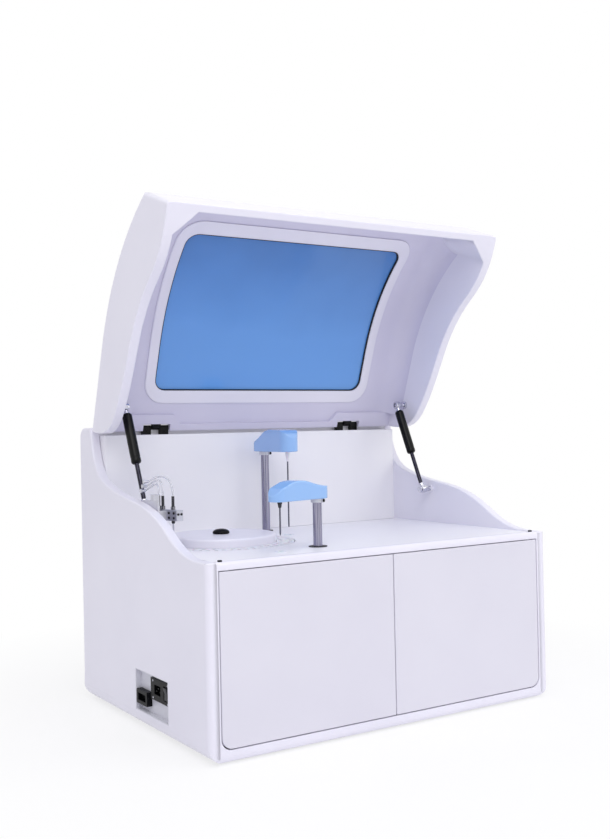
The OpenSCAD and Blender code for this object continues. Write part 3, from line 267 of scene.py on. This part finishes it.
def glass_fibre_board():
    """Circuit board under green solder resist: tracks 2 mm apart stand out as paler lines"""
    material, tree, shader, place = start_material("glass_fibre_board", Coat_Weight=0.3,
        Coat_Roughness=0.1)
    upright = add_node(tree, "Mapping", {"Rotation": (math.pi / 2, 0, 0)}, {"Vector": place})
    tracks = add_node(tree, "TexBrick", {"Scale": 1, "Brick Width": 0.03, "Row Height": 0.004,
        "Mortar Size": 0.0006, "Color1": linear("#2A6A48"), "Color2": linear("#24603F"),
        "Mortar": linear("#4F9A6C")}, {"Vector": upright.outputs["Vector"]})
    sheen = add_node(tree, "MapRange", {"To Min": 0.3, "To Max": 0.42},
        {"Value": tracks.outputs["Fac"]})
    relief = add_node(tree, "Bump", {"Strength": 0.3, "Distance": 0.00005},
        {"Height": tracks.outputs["Fac"]})
    tree.links.new(tracks.outputs["Color"], shader.inputs["Base Color"])
    tree.links.new(sheen.outputs["Result"], shader.inputs["Roughness"])
    tree.links.new(relief.outputs["Normal"], shader.inputs["Normal"])
    return material


tinted_acrylic_blue = tinted_acrylic()
clear_fluoropolymer = clear_hose()
circuit_board_green = glass_fibre_board()

MATERIAL_OF_NODE = {
    "base_chassis": zinc_plated_sheet, "rubber_feet": moulded_rubber,
    "left_side_panel": painted_polyurethane, "right_side_panel": painted_polyurethane,
    "front_frame": painted_polyurethane,
    "rear_cabinet": powder_coat_painted_light, "rear_panel": powder_coat_painted_light, "deck_plate": powder_coat_painted_light,
    "power_panel": grey_polycarbonate, "power_inlet": grained_black_abs, "data_port": grained_black_abs,
    "lid_hinge_bases": black_stove_enamel, "strut_wall_studs": bright_stainless,
    "wash_bracket": anodised_aluminium, "column_bushings": grained_black_abs,
    "lift_frames": bright_stainless, "turntable_bearing": turned_aluminium,
    "turntable_motor": grained_black_abs, "power_supply": zinc_plated_sheet,
    "control_board": circuit_board_green, "syringe_pumps": zinc_plated_sheet,
    "wash_pumps": glass_filled_nylon, "probe_wash_wells": natural_polypropylene,
    "photometer": grained_black_abs, "lid_bumpers": moulded_rubber, "door_hardware": bright_stainless,
    "fan_frame": glass_filled_nylon, "case_screws": bright_stainless,
    "wash_tubes": clear_fluoropolymer, "lid_shell": painted_polyurethane,
    "lid_liner": formed_abs_liner, "window_frame": painted_polyurethane,
    "window_gasket": moulded_rubber, "window_glass": tinted_acrylic_blue,
    "lid_hinge_leaves": black_stove_enamel, "lid_strut_studs": bright_stainless,
    "left_strut_rod": nitrided_rod, "right_strut_rod": nitrided_rod,
    "left_strut_tube": black_stove_enamel, "right_strut_tube": black_stove_enamel,
    "rear_lift_carriage": anodised_aluminium, "front_lift_carriage": anodised_aluminium,
    "rear_arm_column": ground_stainless, "front_arm_column": ground_stainless,
    "rear_arm_cover": gloss_blue_abs, "front_arm_cover": gloss_blue_abs,
    "rear_probe": dark_needle_steel, "front_probe": dark_needle_steel,
    "turntable_rotor": turned_aluminium, "cuvette_ring": natural_polypropylene,
    "reagent_rack": waxy_polyethylene, "turntable_cover": painted_polyurethane,
    "cover_knob": grained_black_abs, "wash_head": anodised_aluminium, "left_door": door_paint_painted_shade,
    "right_door": door_paint_painted_shade, "fan_rotor": glass_filled_nylon, "power_switch": glass_filled_nylon,
    "sample_plunger": natural_polypropylene, "reagent_plunger": natural_polypropylene,
}
for node, material in MATERIAL_OF_NODE.items():
    mesh = frame["nodes"][node].data
    mesh.materials.clear()
    mesh.materials.append(material)


# Making pieces

SHARP = math.radians(50)


def finish_piece(name, bm, body, material, nodes=(), millimetres=True):
    """Makes the mesh an object that rides on its body and stands for its nodes"""
    if millimetres:
        bmesh.ops.remove_doubles(bm, verts=bm.verts, dist=0.0005)
        bmesh.ops.recalc_face_normals(bm, faces=bm.faces)
        bmesh.ops.scale(bm, vec=(MM, MM, MM), verts=bm.verts)
    for face in bm.faces:
        face.smooth = True
    mesh = bpy.data.meshes.new(name)
    bm.to_mesh(mesh)
    bm.free()
    mesh.set_sharp_from_angle(angle=math.radians(32))
    mesh.materials.append(material)
    piece = bpy.data.objects.new(name, mesh)
    bpy.context.scene.collection.objects.link(piece)
    weighted = piece.modifiers.new("even_normals", "WEIGHTED_NORMAL")
    weighted.keep_sharp = True
    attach(piece, body)
    if nodes:
        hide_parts(*nodes)
    return piece


def turned(bm, profile, at=(0, 0, 0), along=(0, 0, 1), steps=48):
    """Spins a profile of (radius, height) points about an axis through a place"""
    before = set(bm.verts)
    points = [bm.verts.new((radius, 0, height)) for radius, height in profile]
    lines = [bm.edges.new(pair) for pair in zip(points, points[1:])]
    bmesh.ops.spin(bm, geom=points + lines, cent=(0, 0, 0), axis=(0, 0, 1), angle=math.tau,
        steps=steps, use_merge=True)
    made = [v for v in bm.verts if v not in before]
    turn = Vector((0, 0, 1)).rotation_difference(Vector(along)).to_matrix().to_4x4()
    bmesh.ops.transform(bm, matrix=Matrix.Translation(at) @ turn, verts=made)
    return made


def block(bm, low, high, edge=0.5, turn=0, about=(0, 0, 0)):
    """A block between two corners with its edges rounded, turned on a place if asked"""
    low, high = Vector(low), Vector(high)
    made = bmesh.ops.create_cube(bm, size=1)["verts"]
    bmesh.ops.scale(bm, vec=high - low, verts=made)
    bmesh.ops.translate(bm, vec=(low + high) / 2, verts=made)
    edges = list({e for v in made for e in v.link_edges})
    rounded = bmesh.ops.bevel(bm, geom=edges, offset=edge, offset_type="OFFSET", segments=3,
        profile=0.5, affect="EDGES", material=-1)
    made = list({v for f in rounded["faces"] for v in f.verts})
    if turn or any(about):
        place = Matrix.Translation(about) @ Matrix.Rotation(math.radians(turn), 4, "Z")
        bmesh.ops.transform(bm, matrix=place, verts=made)


def cap_screw(bm, at, along, radius, height):
    """A socket head screw: a rounded head with a hexagon recess"""
    turned(bm, [(radius * 0.5, height * 0.3), (radius * 0.5, height), (radius * 0.85, height),
        (radius, height * 0.8), (radius, 0), (0, 0)], at, along, 24)
    turned(bm, [(0, height * 0.3), (radius * 0.52, height * 0.3), (radius * 0.52, height * 0.95)],
        at, along, 6)


def lid_point(y, z):
    """Where a point of the closed lid stands once the lid is open"""
    y, z = y - HINGE_Y, z - HINGE_Z
    return (HINGE_Y + y * math.cos(LID_TURN) + z * math.sin(LID_TURN),
        HINGE_Z - y * math.sin(LID_TURN) + z * math.cos(LID_TURN))


def depth_when_closed(v):
    """How far back a point of the open lid's mesh, in metres, lies once the lid is closed"""
    y, z = v.y - HINGE_Y * MM, v.z - HINGE_Z * MM
    return HINGE_Y * MM + y * math.cos(LID_TURN) - z * math.sin(LID_TURN)


# Housing: each panel is the CAD solid with its visible edges rounded

def round_edges(bm, radius, segments, chosen, whole_faces):
    """Rounds the chosen sharp edges, of the CAD triangles or of the whole faces they make up"""
    bmesh.ops.remove_doubles(bm, verts=bm.verts, dist=CAD_MERGE)
    if whole_faces:
        bmesh.ops.dissolve_limit(bm, angle_limit=math.radians(0.3), verts=bm.verts, edges=bm.edges)
    edges = [e for e in bm.edges if len(e.link_faces) == 2 and e.calc_face_angle(0) > SHARP
        and chosen(*(v.co for v in e.verts))]
    bmesh.ops.bevel(bm, geom=edges, offset=radius, offset_type="OFFSET", segments=segments,
        profile=0.5, affect="EDGES", material=-1, clamp_overlap=False)


def rounded_node(node, radius, segments, chosen, whole_faces=False):
    """A piece that is the CAD solid with its edges rounded"""
    bm = bmesh.new()
    bm.from_mesh(frame["nodes"][node].data)
    round_edges(bm, radius, segments, chosen, whole_faces)
    low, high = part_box(node)
    for vert in bm.verts:
        vert.co = Vector(max(l, min(h, c)) for l, c, h in zip(low, vert.co, high))
    return finish_piece(node + "_moulding", bm, body_of_node[node], MATERIAL_OF_NODE[node],
        [node], millimetres=False)


# Where the side panels' faces and the power recess lie, in metres like the meshes
OUTER_FACE = 0.3499
RIM_INNER_FACE = 0.3321
PANEL_INNER_FACE = 0.3318
DECK_TOP = 0.3055
SWEEP_END = 0.2035
RECESS_Y = (-0.1165, 0.0145)
RECESS_Z = (0.0315, 0.1025)


def in_recess(v):
    return RECESS_Y[0] < v.y < RECESS_Y[1] and RECESS_Z[0] < v.z < RECESS_Z[1]


def panel_edge(a, b):
    """The outer edges of a side panel, and the inner edge of its swept rim"""
    if min(abs(a.x), abs(b.x)) > OUTER_FACE:
        return a.x > 0 or not (in_recess(a) and in_recess(b))
    return (max(abs(a.x), abs(b.x)) < RIM_INNER_FACE and min(a.z, b.z) > DECK_TOP
        and max(a.y, b.y) < SWEEP_END)


def between_panels(a, b):
    """All edges but those that lie on the side panels"""
    return min(abs(a.x), abs(b.x)) < PANEL_INNER_FACE


def lid_edge(a, b):
    """The lid's rim and gussets, without the window's hole, the hinge notches and the stud holes"""
    y_a, y_b = depth_when_closed(a), depth_when_closed(b)
    at_window = max(abs(a.x), abs(b.x)) < 0.25 and -0.2 < min(y_a, y_b) and max(y_a, y_b) < 0.13
    return (a - b).length > 0.0012 and not at_window and max(y_a, y_b) < 0.185


def every_edge(a, b):
    """For a piece with no edge to leave out"""
    return True


rounded_node("left_side_panel", 0.003, 4, panel_edge)
rounded_node("right_side_panel", 0.003, 4, panel_edge)
rounded_node("front_frame", 0.0008, 2, between_panels)
rounded_node("rear_cabinet", 0.0012, 3, between_panels)
rounded_node("left_door", 0.0015, 3, every_edge)
rounded_node("right_door", 0.0015, 3, every_edge)
rounded_node("lid_shell", 0.0025, 3, lid_edge, whole_faces=True)
rounded_node("window_frame", 0.0022, 4, every_edge, whole_faces=True)

# End plates that close the hollow behind the bay's back wall, where the swept rim passes it
bm = bmesh.new()
for low_x, high_x in ((-331.9, -330.4), (330.4, 331.9)):
    block(bm, (low_x, 176, 306), (high_x, 252, 495), edge=0.3)
finish_piece("bay_wall_ends", bm, "cabinet", MATERIAL_OF_NODE["rear_cabinet"])

# Small machined and moulded nodes keep their CAD mesh and get a fine chamfer
for node, width in {
    "power_panel": 0.4, "power_inlet": 0.4, "data_port": 0.4, "power_switch": 0.8,
    "lid_hinge_leaves": 0.5, "wash_bracket": 0.5, "door_hardware": 0.4, "fan_frame": 0.6,
    "rear_lift_carriage": 0.6, "front_lift_carriage": 0.6, "lift_frames": 0.4,
    "turntable_motor": 0.8, "power_supply": 0.8, "photometer": 0.6, "syringe_pumps": 0.4,
    "rear_panel": 0.5, "fan_rotor": 0.3, "wash_pumps": 0.8, "wash_head": 0.3,
}.items():
    cad = frame["nodes"][node]
    weld = cad.modifiers.new("weld", "WELD")
    weld.merge_threshold = CAD_MERGE
    chamfer = cad.modifiers.new("chamfer", "BEVEL")
    chamfer.width = width * MM
    chamfer.segments = 2
    chamfer.limit_method = "ANGLE"
    chamfer.angle_limit = SHARP


# Arm covers: the CAD form, melted a little so that every edge is as soft as a gloss moulding's

COVER_VOXEL = 1.1 * MM
COVER_MELTING = 9


def moulded_cover(node):
    """Gives a cover one closed skin and smooths it"""
    bm = bmesh.new()
    bm.from_mesh(frame["nodes"][node].data)
    bmesh.ops.remove_doubles(bm, verts=bm.verts, dist=CAD_MERGE)
    cover = finish_piece(node + "_moulding", bm, body_of_node[node], MATERIAL_OF_NODE[node],
        [node], millimetres=False)
    cover.modifiers.clear()
    skin = cover.modifiers.new("skin", "REMESH")
    skin.mode = "VOXEL"
    skin.voxel_size = COVER_VOXEL
    skin.use_smooth_shade = True
    melt = cover.modifiers.new("melt", "SMOOTH")
    melt.factor = 0.5
    melt.iterations = COVER_MELTING


moulded_cover("rear_arm_cover")
moulded_cover("front_arm_cover")


# Gas struts

STRUT_X = 311
STRUT_FOOT = Vector((0, 47, 373))
STRUT_HEAD = Vector((0, *lid_point(137.5, 460.5)))
STRUT_LENGTH = (STRUT_HEAD - STRUT_FOOT).length
STRUT_LINE = (STRUT_HEAD - STRUT_FOOT).normalized()


def ball_socket(bm, at):
    """The round housing that snaps over a ball stud, with a shallow groove round its middle"""
    turned(bm, [(4.15, -5.3), (6.6, -5.5), (7.6, -5), (8, -4), (8, -1), (7.6, -0.7), (7.6, 0.7),
        (8, 1), (8, 4), (7.6, 5), (6.6, 5.5), (4.15, 5.3), (4.15, -5.3)], at, (1, 0, 0))


for side, name in ((-1, "left"), (1, "right")):
    foot = STRUT_FOOT + Vector((side * STRUT_X, 0, 0))
    head = STRUT_HEAD + Vector((side * STRUT_X, 0, 0))
    end = STRUT_LENGTH
    # Cylinder with a rolled neck at the rod's end and a crimp behind it
    bm = bmesh.new()
    turned(bm, [(0, end - 22), (4.2, end - 22), (4.2, end - 112), (6, end - 111.8),
        (7.8, end - 110.8), (8.8, end - 109), (9, end - 107), (9, end - 102), (8.5, end - 101.2),
        (8.5, end - 100.2), (9, end - 99.4), (9, end - 19), (8.6, end - 16.5), (7.2, end - 14.6),
        (5, end - 14), (0, end - 14)], foot, STRUT_LINE, 64)
    finish_piece(name + "_gas_cylinder", bm, name + "_strut_tube", black_stove_enamel,
        [name + "_strut_tube"])
    # Fitting between the cylinder and the lid's ball
    bm = bmesh.new()
    turned(bm, [(0, end - 14), (4.5, end - 14), (4.5, end - 10.5), (3.6, end - 10), (3.6, end - 7),
        (5, end - 6), (5, end - 3), (0, end - 3)], foot, STRUT_LINE)
    ball_socket(bm, head)
    finish_piece(name + "_cylinder_fitting", bm, name + "_strut_tube", bright_stainless)
    # Piston rod, and the short fitting that clears the cylinder once the lid is closed
    bm = bmesh.new()
    turned(bm, [(0, 11), (3.6, 11), (4, 11.5), (4, end - 93), (3.4, end - 92.2), (0, end - 92.2)],
        foot, STRUT_LINE)
    finish_piece(name + "_piston_rod", bm, name + "_strut_rod", nitrided_rod, [name + "_strut_rod"])
    bm = bmesh.new()
    turned(bm, [(0, 5), (5, 5), (5, 9), (5.6, 9.6), (5.6, 12), (4.6, 13), (4.1, 13.2), (0, 13.2)],
        foot, STRUT_LINE)
    ball_socket(bm, foot)
    finish_piece(name + "_rod_fitting", bm, name + "_strut_rod", bright_stainless)
    # White foot round the wall stud
    bm = bmesh.new()
    turned(bm, [(6.2, 327.6), (8.2, 327.6), (8.9, 328.2), (9, 329), (9, 331.9), (6.2, 331.9),
        (6.2, 327.6)], STRUT_FOOT, (side, 0, 0))
    finish_piece(name + "_wall_stud_foot", bm, "cabinet", painted_polyurethane)

bm = bmesh.new()
for side in (-1, 1):
    turned(bm, [(0, 301.8), (4.6, 302), (6.2, 302.8), (6.5, 303.6), (6.5, 304.6), (5.6, 305.1),
        (4, 305.2), (4, 318), (0, 318)], STRUT_FOOT, (side, 0, 0))
    turned(bm, [(0, 317.6), (6.6, 317.6), (6.6, 322), (0, 322)], STRUT_FOOT, (side, 0, 0), 6)
    turned(bm, [(0, 321.8), (4, 321.8), (4, 327.8), (6.3, 327.9), (6.3, 331.9), (4, 332),
        (4, 345.8), (0, 346)], STRUT_FOOT, (side, 0, 0))
finish_piece("wall_ball_studs", bm, "cabinet", bright_stainless, ["strut_wall_studs"])

bm = bmesh.new()
for side in (-1, 1):
    turned(bm, [(0, 311), (2.6, 311.4), (4, 313), (4, 317.5), (4, 326.8), (6.8, 327), (7.7, 327.6),
        (8, 328.6), (8, 331.9), (4, 332), (4, 346.8), (0, 347)], STRUT_HEAD, (side, 0, 0))
    turned(bm, [(0, 319), (5.8, 319), (5.8, 323), (0, 323)], STRUT_HEAD, (side, 0, 0), 6)
finish_piece("lid_ball_studs", bm, "lid", bright_stainless, ["lid_strut_studs"])


# Lid hinges: two knuckles each on the cabinet, their pins and their screws

HINGE = (0, HINGE_Y, HINGE_Z)

bm = bmesh.new()
screws = bmesh.new()
for side in (-1, 1):
    for low, high in ((196, 213.7), (232.3, 250)):
        low_x, high_x = sorted((side * low, side * high))
        turned(bm, [(0, 0), (3.6, 0), (4.3, 0.3), (4.5, 1), (4.5, 16.7), (4.3, 17.4), (3.6, 17.7),
            (0, 17.7)], (low_x, HINGE_Y, HINGE_Z), (1, 0, 0))
        block(bm, (low_x, 191.5, 498), (high_x, 200.5, HINGE_Z), 1)
        cap_screw(screws, ((low_x + high_x) / 2, 191.6, 504.5), (0, -1, 0), 2.4, 1.2)
    turned(screws, [(0, 249.9), (2.2, 249.9), (2.2, 250.6), (1.4, 251.2), (0, 251.2)],
        HINGE, (side, 0, 0), 24)
    turned(screws, [(0, 196.1), (2.2, 196.1), (2.2, 195.4), (1.4, 194.8), (0, 194.8)],
        HINGE, (side, 0, 0), 24)
    turned(bm, [(0, 210), (2.2, 210), (2.2, 236), (0, 236)], HINGE, (side, 0, 0), 24)
finish_piece("hinge_knuckles", bm, "cabinet", black_stove_enamel, ["lid_hinge_bases"])
finish_piece("hinge_screws", screws, "cabinet", black_stove_enamel)


# Arm columns, needles and their fittings

TABLE = Vector((-184, 6, 0))
CLAMP_ANGLE = -62


def direction(angle):
    """The level direction that lies so many degrees round from the x axis"""
    return Vector((math.cos(math.radians(angle)), math.sin(math.radians(angle)), 0))


def towards(place, angle, length):
    """The place that lies so far off in a level direction"""
    return place + length * direction(angle)


REAR_COLUMN = towards(TABLE, 36.8, 208)
FRONT_COLUMN = towards(TABLE, -62.2, 197.5)
REAR_NEEDLE = towards(REAR_COLUMN, 265, 100)
FRONT_NEEDLE = towards(FRONT_COLUMN, 194, 89.5)

for name, place, top in (("rear", REAR_COLUMN, 460), ("front", FRONT_COLUMN, 385)):
    # Ground tube with its belt pulley under the carriage and a thrust ring over it
    bm = bmesh.new()
    turned(bm, [(0, 162), (15, 162), (15, 164.2), (14.2, 165), (14.2, 174.7), (15, 175.5),
        (15, 177.7), (7.75, 177.7), (7.75, 200.3), (10, 200.3), (10.5, 200.8), (10.5, 204.8),
        (10, 205.3), (7.75, 205.3), (7.75, top + 11), (7.2, top + 12), (0, top + 12)], place)
    finish_piece(name + "_column_tube", bm, name + "_arm", ground_stainless, [name + "_arm_column"])
    # Split clamp under the arm, closed by one black screw
    bm = bmesh.new()
    turned(bm, [(7.8, top - 7), (10.2, top - 7), (10.75, top - 6.5), (10.75, top - 0.6),
        (10.3, top - 0.1), (7.8, top - 0.1), (7.8, top - 7)], place)
    block(bm, (8.5, -3, top - 6.6), (12.5, 3, top - 0.4), 0.6, CLAMP_ANGLE, (place.x, place.y, 0))
    finish_piece(name + "_column_clamp", bm, name + "_arm", anodised_aluminium)
    bm = bmesh.new()
    cap_screw(bm, towards(place + Vector((0, 0, top - 3.5)), CLAMP_ANGLE, 12.2),
        direction(CLAMP_ANGLE), 2.7, 2)
    finish_piece(name + "_clamp_screw", bm, name + "_arm", grained_black_abs)

bm = bmesh.new()
turned(bm, [(0, 318), (0.4, 318), (0.9, 319.2), (1.3, 321), (1.4, 323), (1.4, 444), (0, 444)],
    REAR_NEEDLE, steps=24)
finish_piece("rear_needle", bm, "rear_arm", dark_needle_steel, ["rear_probe"])
bm = bmesh.new()
turned(bm, [(1.3, 441.8), (1.9, 441.8), (2.4, 443), (3.1, 449), (3.2, 452), (4, 453.4), (4, 470),
    (0, 470)], REAR_NEEDLE)
finish_piece("rear_needle_holder", bm, "rear_arm", natural_polypropylene)
bm = bmesh.new()
turned(bm, [(0, 330), (0.4, 330), (0.9, 331.2), (1.3, 333), (1.4, 335), (1.4, 377), (0, 377)],
    FRONT_NEEDLE, steps=24)
finish_piece("front_needle", bm, "front_arm", dark_needle_steel, ["front_probe"])
bm = bmesh.new()
turned(bm, [(1.3, 375), (2, 375), (2.6, 376.2), (3.2, 380.5), (4, 382), (4, 395), (0, 395)],
    FRONT_NEEDLE)
finish_piece("front_needle_holder", bm, "front_arm", glass_filled_nylon)


# Wash head

WASH_ANGLE = 193
WASH_REACH = 124
CUVETTE_STEP = 6
WASH = towards(TABLE, WASH_ANGLE, WASH_REACH)
WASH_NEEDLES = [towards(TABLE, WASH_ANGLE + CUVETTE_STEP * k, WASH_REACH)
    for k in (-1.5, -0.5, 1.5)]
bm = bmesh.new()
for needle in WASH_NEEDLES:
    turned(bm, [(1.5, 370.8), (4.1, 370.8), (4.1, 376.4), (1.5, 376.4)], needle, steps=6)
    turned(bm, [(2.3, 376), (2.45, 376.4), (2.45, 393.6), (1.6, 394.8), (0, 394.8)], needle,
        steps=24)
    turned(bm, [(1.45, 353.2), (3, 353.2), (3, 349), (2.2, 347.6), (1.45, 347.6)], needle,
        steps=24)
across = direction(WASH_ANGLE)
lengthwise = direction(WASH_ANGLE + 90)
for reach, height in ((19, 358), (19, 366), (32, 358), (32, 366), (-21, 362)):
    cap_screw(bm, WASH + 6.9 * across + reach * lengthwise + Vector((0, 0, height)), across,
        2.3, 1.4)
for reach in (-3.4, 3.4):
    cap_screw(bm, WASH + reach * across + 38.9 * lengthwise + Vector((0, 0, 364)), lengthwise,
        2.1, 1.4)
finish_piece("wash_head_fittings", bm, "wash_head", glass_filled_nylon)


def hose_mesh(name, routes, radius):
    """Round hoses along cubic routes, as one mesh"""
    data = bpy.data.curves.new(name, "CURVE")
    data.dimensions = "3D"
    data.bevel_depth = radius
    data.bevel_resolution = 3
    data.resolution_u = 24
    data.use_fill_caps = True
    for start, leave, arrive, end in routes:
        route = data.splines.new("BEZIER")
        route.bezier_points.add(1)
        first, last = route.bezier_points
        first.co, first.handle_left, first.handle_right = start, start, leave
        last.co, last.handle_left, last.handle_right = end, arrive, end
    carrier = bpy.data.objects.new(name, data)
    bpy.context.scene.collection.objects.link(carrier)
    depsgraph = bpy.context.evaluated_depsgraph_get()
    mesh = bpy.data.meshes.new_from_object(carrier.evaluated_get(depsgraph))
    bpy.data.objects.remove(carrier)
    return mesh


routes = []
for i, needle in enumerate(WASH_NEEDLES):
    start = (needle + Vector((0, 0, 394))) * MM
    end = Vector((-323, 18 - 6 * i, 402 + 8 * i)) * MM
    routes.append((start, start + Vector((0, 0, 0.026 + 0.006 * i)),
        end + Vector((0.022, 0, 0.014)), end))
bm = bmesh.new()
bm.from_mesh(hose_mesh("wash_hoses", routes, 1.5 * MM))
bmesh.ops.remove_doubles(bm, verts=bm.verts, dist=0.001 * MM)
bmesh.ops.recalc_face_normals(bm, faces=bm.faces)
for face in bm.faces:
    face.smooth = True
mesh = bpy.data.meshes.new("wash_hoses")
bm.to_mesh(mesh)
bm.free()
mesh.materials.append(clear_fluoropolymer)
hoses = bpy.data.objects.new("wash_hoses", mesh)
bpy.context.scene.collection.objects.link(hoses)
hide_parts("wash_tubes")
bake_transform(hoses)


# Turntable

bm = bmesh.new()
turned(bm, [(95.5, 302.3), (98, 302.3), (98, 314.6), (97.6, 316.4), (96.4, 317.9), (94.4, 318.7),
    (90, 318.8), (88.6, 318.2), (87.2, 318.8), (34, 318.8), (33, 318.3), (17, 318.3), (16, 318.8),
    (0, 318.8)], TABLE, steps=128)
turned(bm, [(95.5, 302.3), (95.5, 316.3), (0, 316.3)], TABLE, steps=128)
finish_piece("turntable_lid", bm, "table_cover", painted_polyurethane, ["turntable_cover"])
bm = bmesh.new()
turned(bm, [(0, 318.8), (12.8, 318.8), (14.6, 319.4), (15, 320.6), (15, 321.8), (14.4, 323.4),
    (12.4, 325.2), (9, 326.8), (4.5, 327.6), (0, 327.8)], TABLE, steps=64)
finish_piece("finger_knob", bm, "table_cover", grained_black_abs, ["cover_knob"])

bm = bmesh.new()
turned(bm, [(20, 302), (88, 302), (88, 303.6), (87.6, 304), (20, 304), (20, 302)], TABLE, steps=96)
for i in range(12):
    place = towards(TABLE, 30 * i, 68)
    turned(bm, [(0, 304.05), (12.4, 304.05), (13.5, 304.5), (14, 305.6), (14, 311), (13, 312.2),
        (9, 312.8), (8.4, 313.2), (9.4, 313.4), (9.4, 315), (8.9, 315.5), (0, 315.5)], place,
        steps=24)
finish_piece("reagent_bottles", bm, "turntable", waxy_polyethylene, ["reagent_rack"])


# Small parts round the case

bm = bmesh.new()
for x in (-287, 287):
    for y in (-208, 208):
        turned(bm, [(0, 0.6), (5, 0.6), (5.4, 0), (14.6, 0), (15.6, 0.3), (16, 1), (16, 2.5),
            (0, 2.5)], (x, y, 0))
finish_piece("moulded_feet", bm, "cabinet", moulded_rubber, ["rubber_feet"])

bm = bmesh.new()
for x in (-320, -100, 100, 320):
    for z in (30, 240, 450):
        cap_screw(bm, (x, 256, z), (0, 1, 0), 3.5, 1.6)
finish_piece("case_screw_heads", bm, "cabinet", bright_stainless, ["case_screws"])

# Wire guard over the fan, on its four screws: five rings and four spokes of 1.4 mm wire
FAN_X, FAN_Z = -150, 200
GUARD_Y = 256.9
WIRE_RADIUS = 0.7
bm = bmesh.new()
ring = [(math.cos(math.tau * i / 10), math.sin(math.tau * i / 10)) for i in range(11)]
for radius in (8, 16, 24, 32, 40):
    turned(bm, [(radius + WIRE_RADIUS * c, GUARD_Y + WIRE_RADIUS * s) for c, s in ring],
        (FAN_X, 0, FAN_Z), (0, 1, 0), 72)
for x in (-1, 1):
    for z in (-1, 1):
        spoke = Vector((x, 0, z)).normalized()
        turned(bm, [(0, 6), (WIRE_RADIUS, 6), (WIRE_RADIUS, 50), (0, 50)],
            (FAN_X, GUARD_Y, FAN_Z), spoke, 12)
        cap_screw(bm, (FAN_X + x * 35.5, 256, FAN_Z + z * 35.5), (0, 1, 0), 3.2, 1.7)
finish_piece("fan_wire_guard", bm, "cabinet", bright_stainless)

# Screws that hold the inlet and the recess plate
bm = bmesh.new()
for y, z in ((-106.6, 63), (-106.6, 93), (-50, 64), (-50, 92)):
    cap_screw(bm, (-345.9, y, z), (-1, 0, 0), 1.7, 0.9)
finish_piece("inlet_screws", bm, "cabinet", bright_stainless)


# Room

LIT_PLACE = Vector((0, 0, 0.4))


def make_lamp(name, place, size, power):
    """A white softbox so many metres wide and high, turned to the middle of the instrument"""
    data = bpy.data.lights.new(name, "AREA")
    data.shape = "RECTANGLE"
    data.size, data.size_y = size
    data.energy = power
    lamp = bpy.data.objects.new(name, data)
    lamp.location = place
    lamp.rotation_euler = (LIT_PLACE - Vector(place)).to_track_quat("-Z", "Y").to_euler()
    bpy.context.scene.collection.objects.link(lamp)


def seen_from_outside(tree):
    """1 where the camera, a reflection or a view through glass looks, 0 for lighting"""
    path = add_node(tree, "LightPath")
    direct = add_node(tree, "Math", {"operation": "MAXIMUM"},
        {0: path.outputs["Is Camera Ray"], 1: path.outputs["Is Glossy Ray"]})
    return add_node(tree, "Math", {"operation": "MAXIMUM"},
        {0: direct.outputs["Value"], 1: path.outputs["Is Transmission Ray"]}).outputs["Value"]


def make_world():
    """White to look at, a little softer as light"""
    world = bpy.data.worlds.new("studio")
    bpy.context.scene.world = world
    world.use_nodes = True
    tree = world.node_tree
    light = add_node(tree, "Background", {"Color": linear("#F6F6FB"), "Strength": 0.66})
    white = add_node(tree, "Background", {"Color": (1, 1, 1, 1), "Strength": 1})
    shown = add_node(tree, "MixShader", {}, {"Fac": seen_from_outside(tree),
        1: light.outputs["Background"], 2: white.outputs["Background"]})
    tree.links.new(shown.outputs["Shader"], tree.nodes["World Output"].inputs["Surface"])


def make_floor():
    """Matt white card. Seen directly it is mostly white of its own, so that only the soft
    shadow under the instrument shows on it, and further out it is white all over."""
    bm = bmesh.new()
    bmesh.ops.create_grid(bm, x_segments=2, y_segments=2, size=8)
    mesh = bpy.data.meshes.new("floor")
    bm.to_mesh(mesh)
    bm.free()
    floor = bpy.data.objects.new("floor", mesh)
    bpy.context.scene.collection.objects.link(floor)
    material, tree, shader, place = start_material("white_card", Roughness=0.9)
    fibre = add_node(tree, "TexNoise", {"Scale": 3, "Detail": 2}, {"Vector": place})
    colour = add_node(tree, "ValToRGB", {"stops": [(0.3, "#F6F6FA"), (0.7, "#FBFBFD")]},
        {"Fac": fibre.outputs["Fac"]})
    tree.links.new(colour.outputs["Color"], shader.inputs["Base Color"])
    far = add_node(tree, "VectorMath", {"operation": "LENGTH"}, {0: place})
    share = add_node(tree, "MapRange", {"From Min": 0.45, "From Max": 1.0, "To Min": 0.72,
        "To Max": 1}, {"Value": far.outputs["Value"]})
    whiter = add_node(tree, "Math", {"operation": "MULTIPLY"},
        {0: seen_from_outside(tree), 1: share.outputs["Result"]})
    white = add_node(tree, "Emission", {"Color": (1, 1, 1, 1), "Strength": 1})
    shown = add_node(tree, "MixShader", {}, {"Fac": whiter.outputs["Value"],
        1: shader.outputs["BSDF"], 2: white.outputs["Emission"]})
    tree.links.new(shown.outputs["Shader"], tree.nodes["Material Output"].inputs["Surface"])
    mesh.materials.append(material)


make_world()
make_floor()
make_lamp("key", (-1.6, -2.4, 2.6), (2.2, 1.6), 27)
make_lamp("fill", (2.4, -2.0, 1.6), (2.0, 2.0), 13)
make_lamp("top", (0, -1.1, 3.1), (2.4, 2.0), 24)

bpy.context.scene.view_settings.view_transform = "Standard"
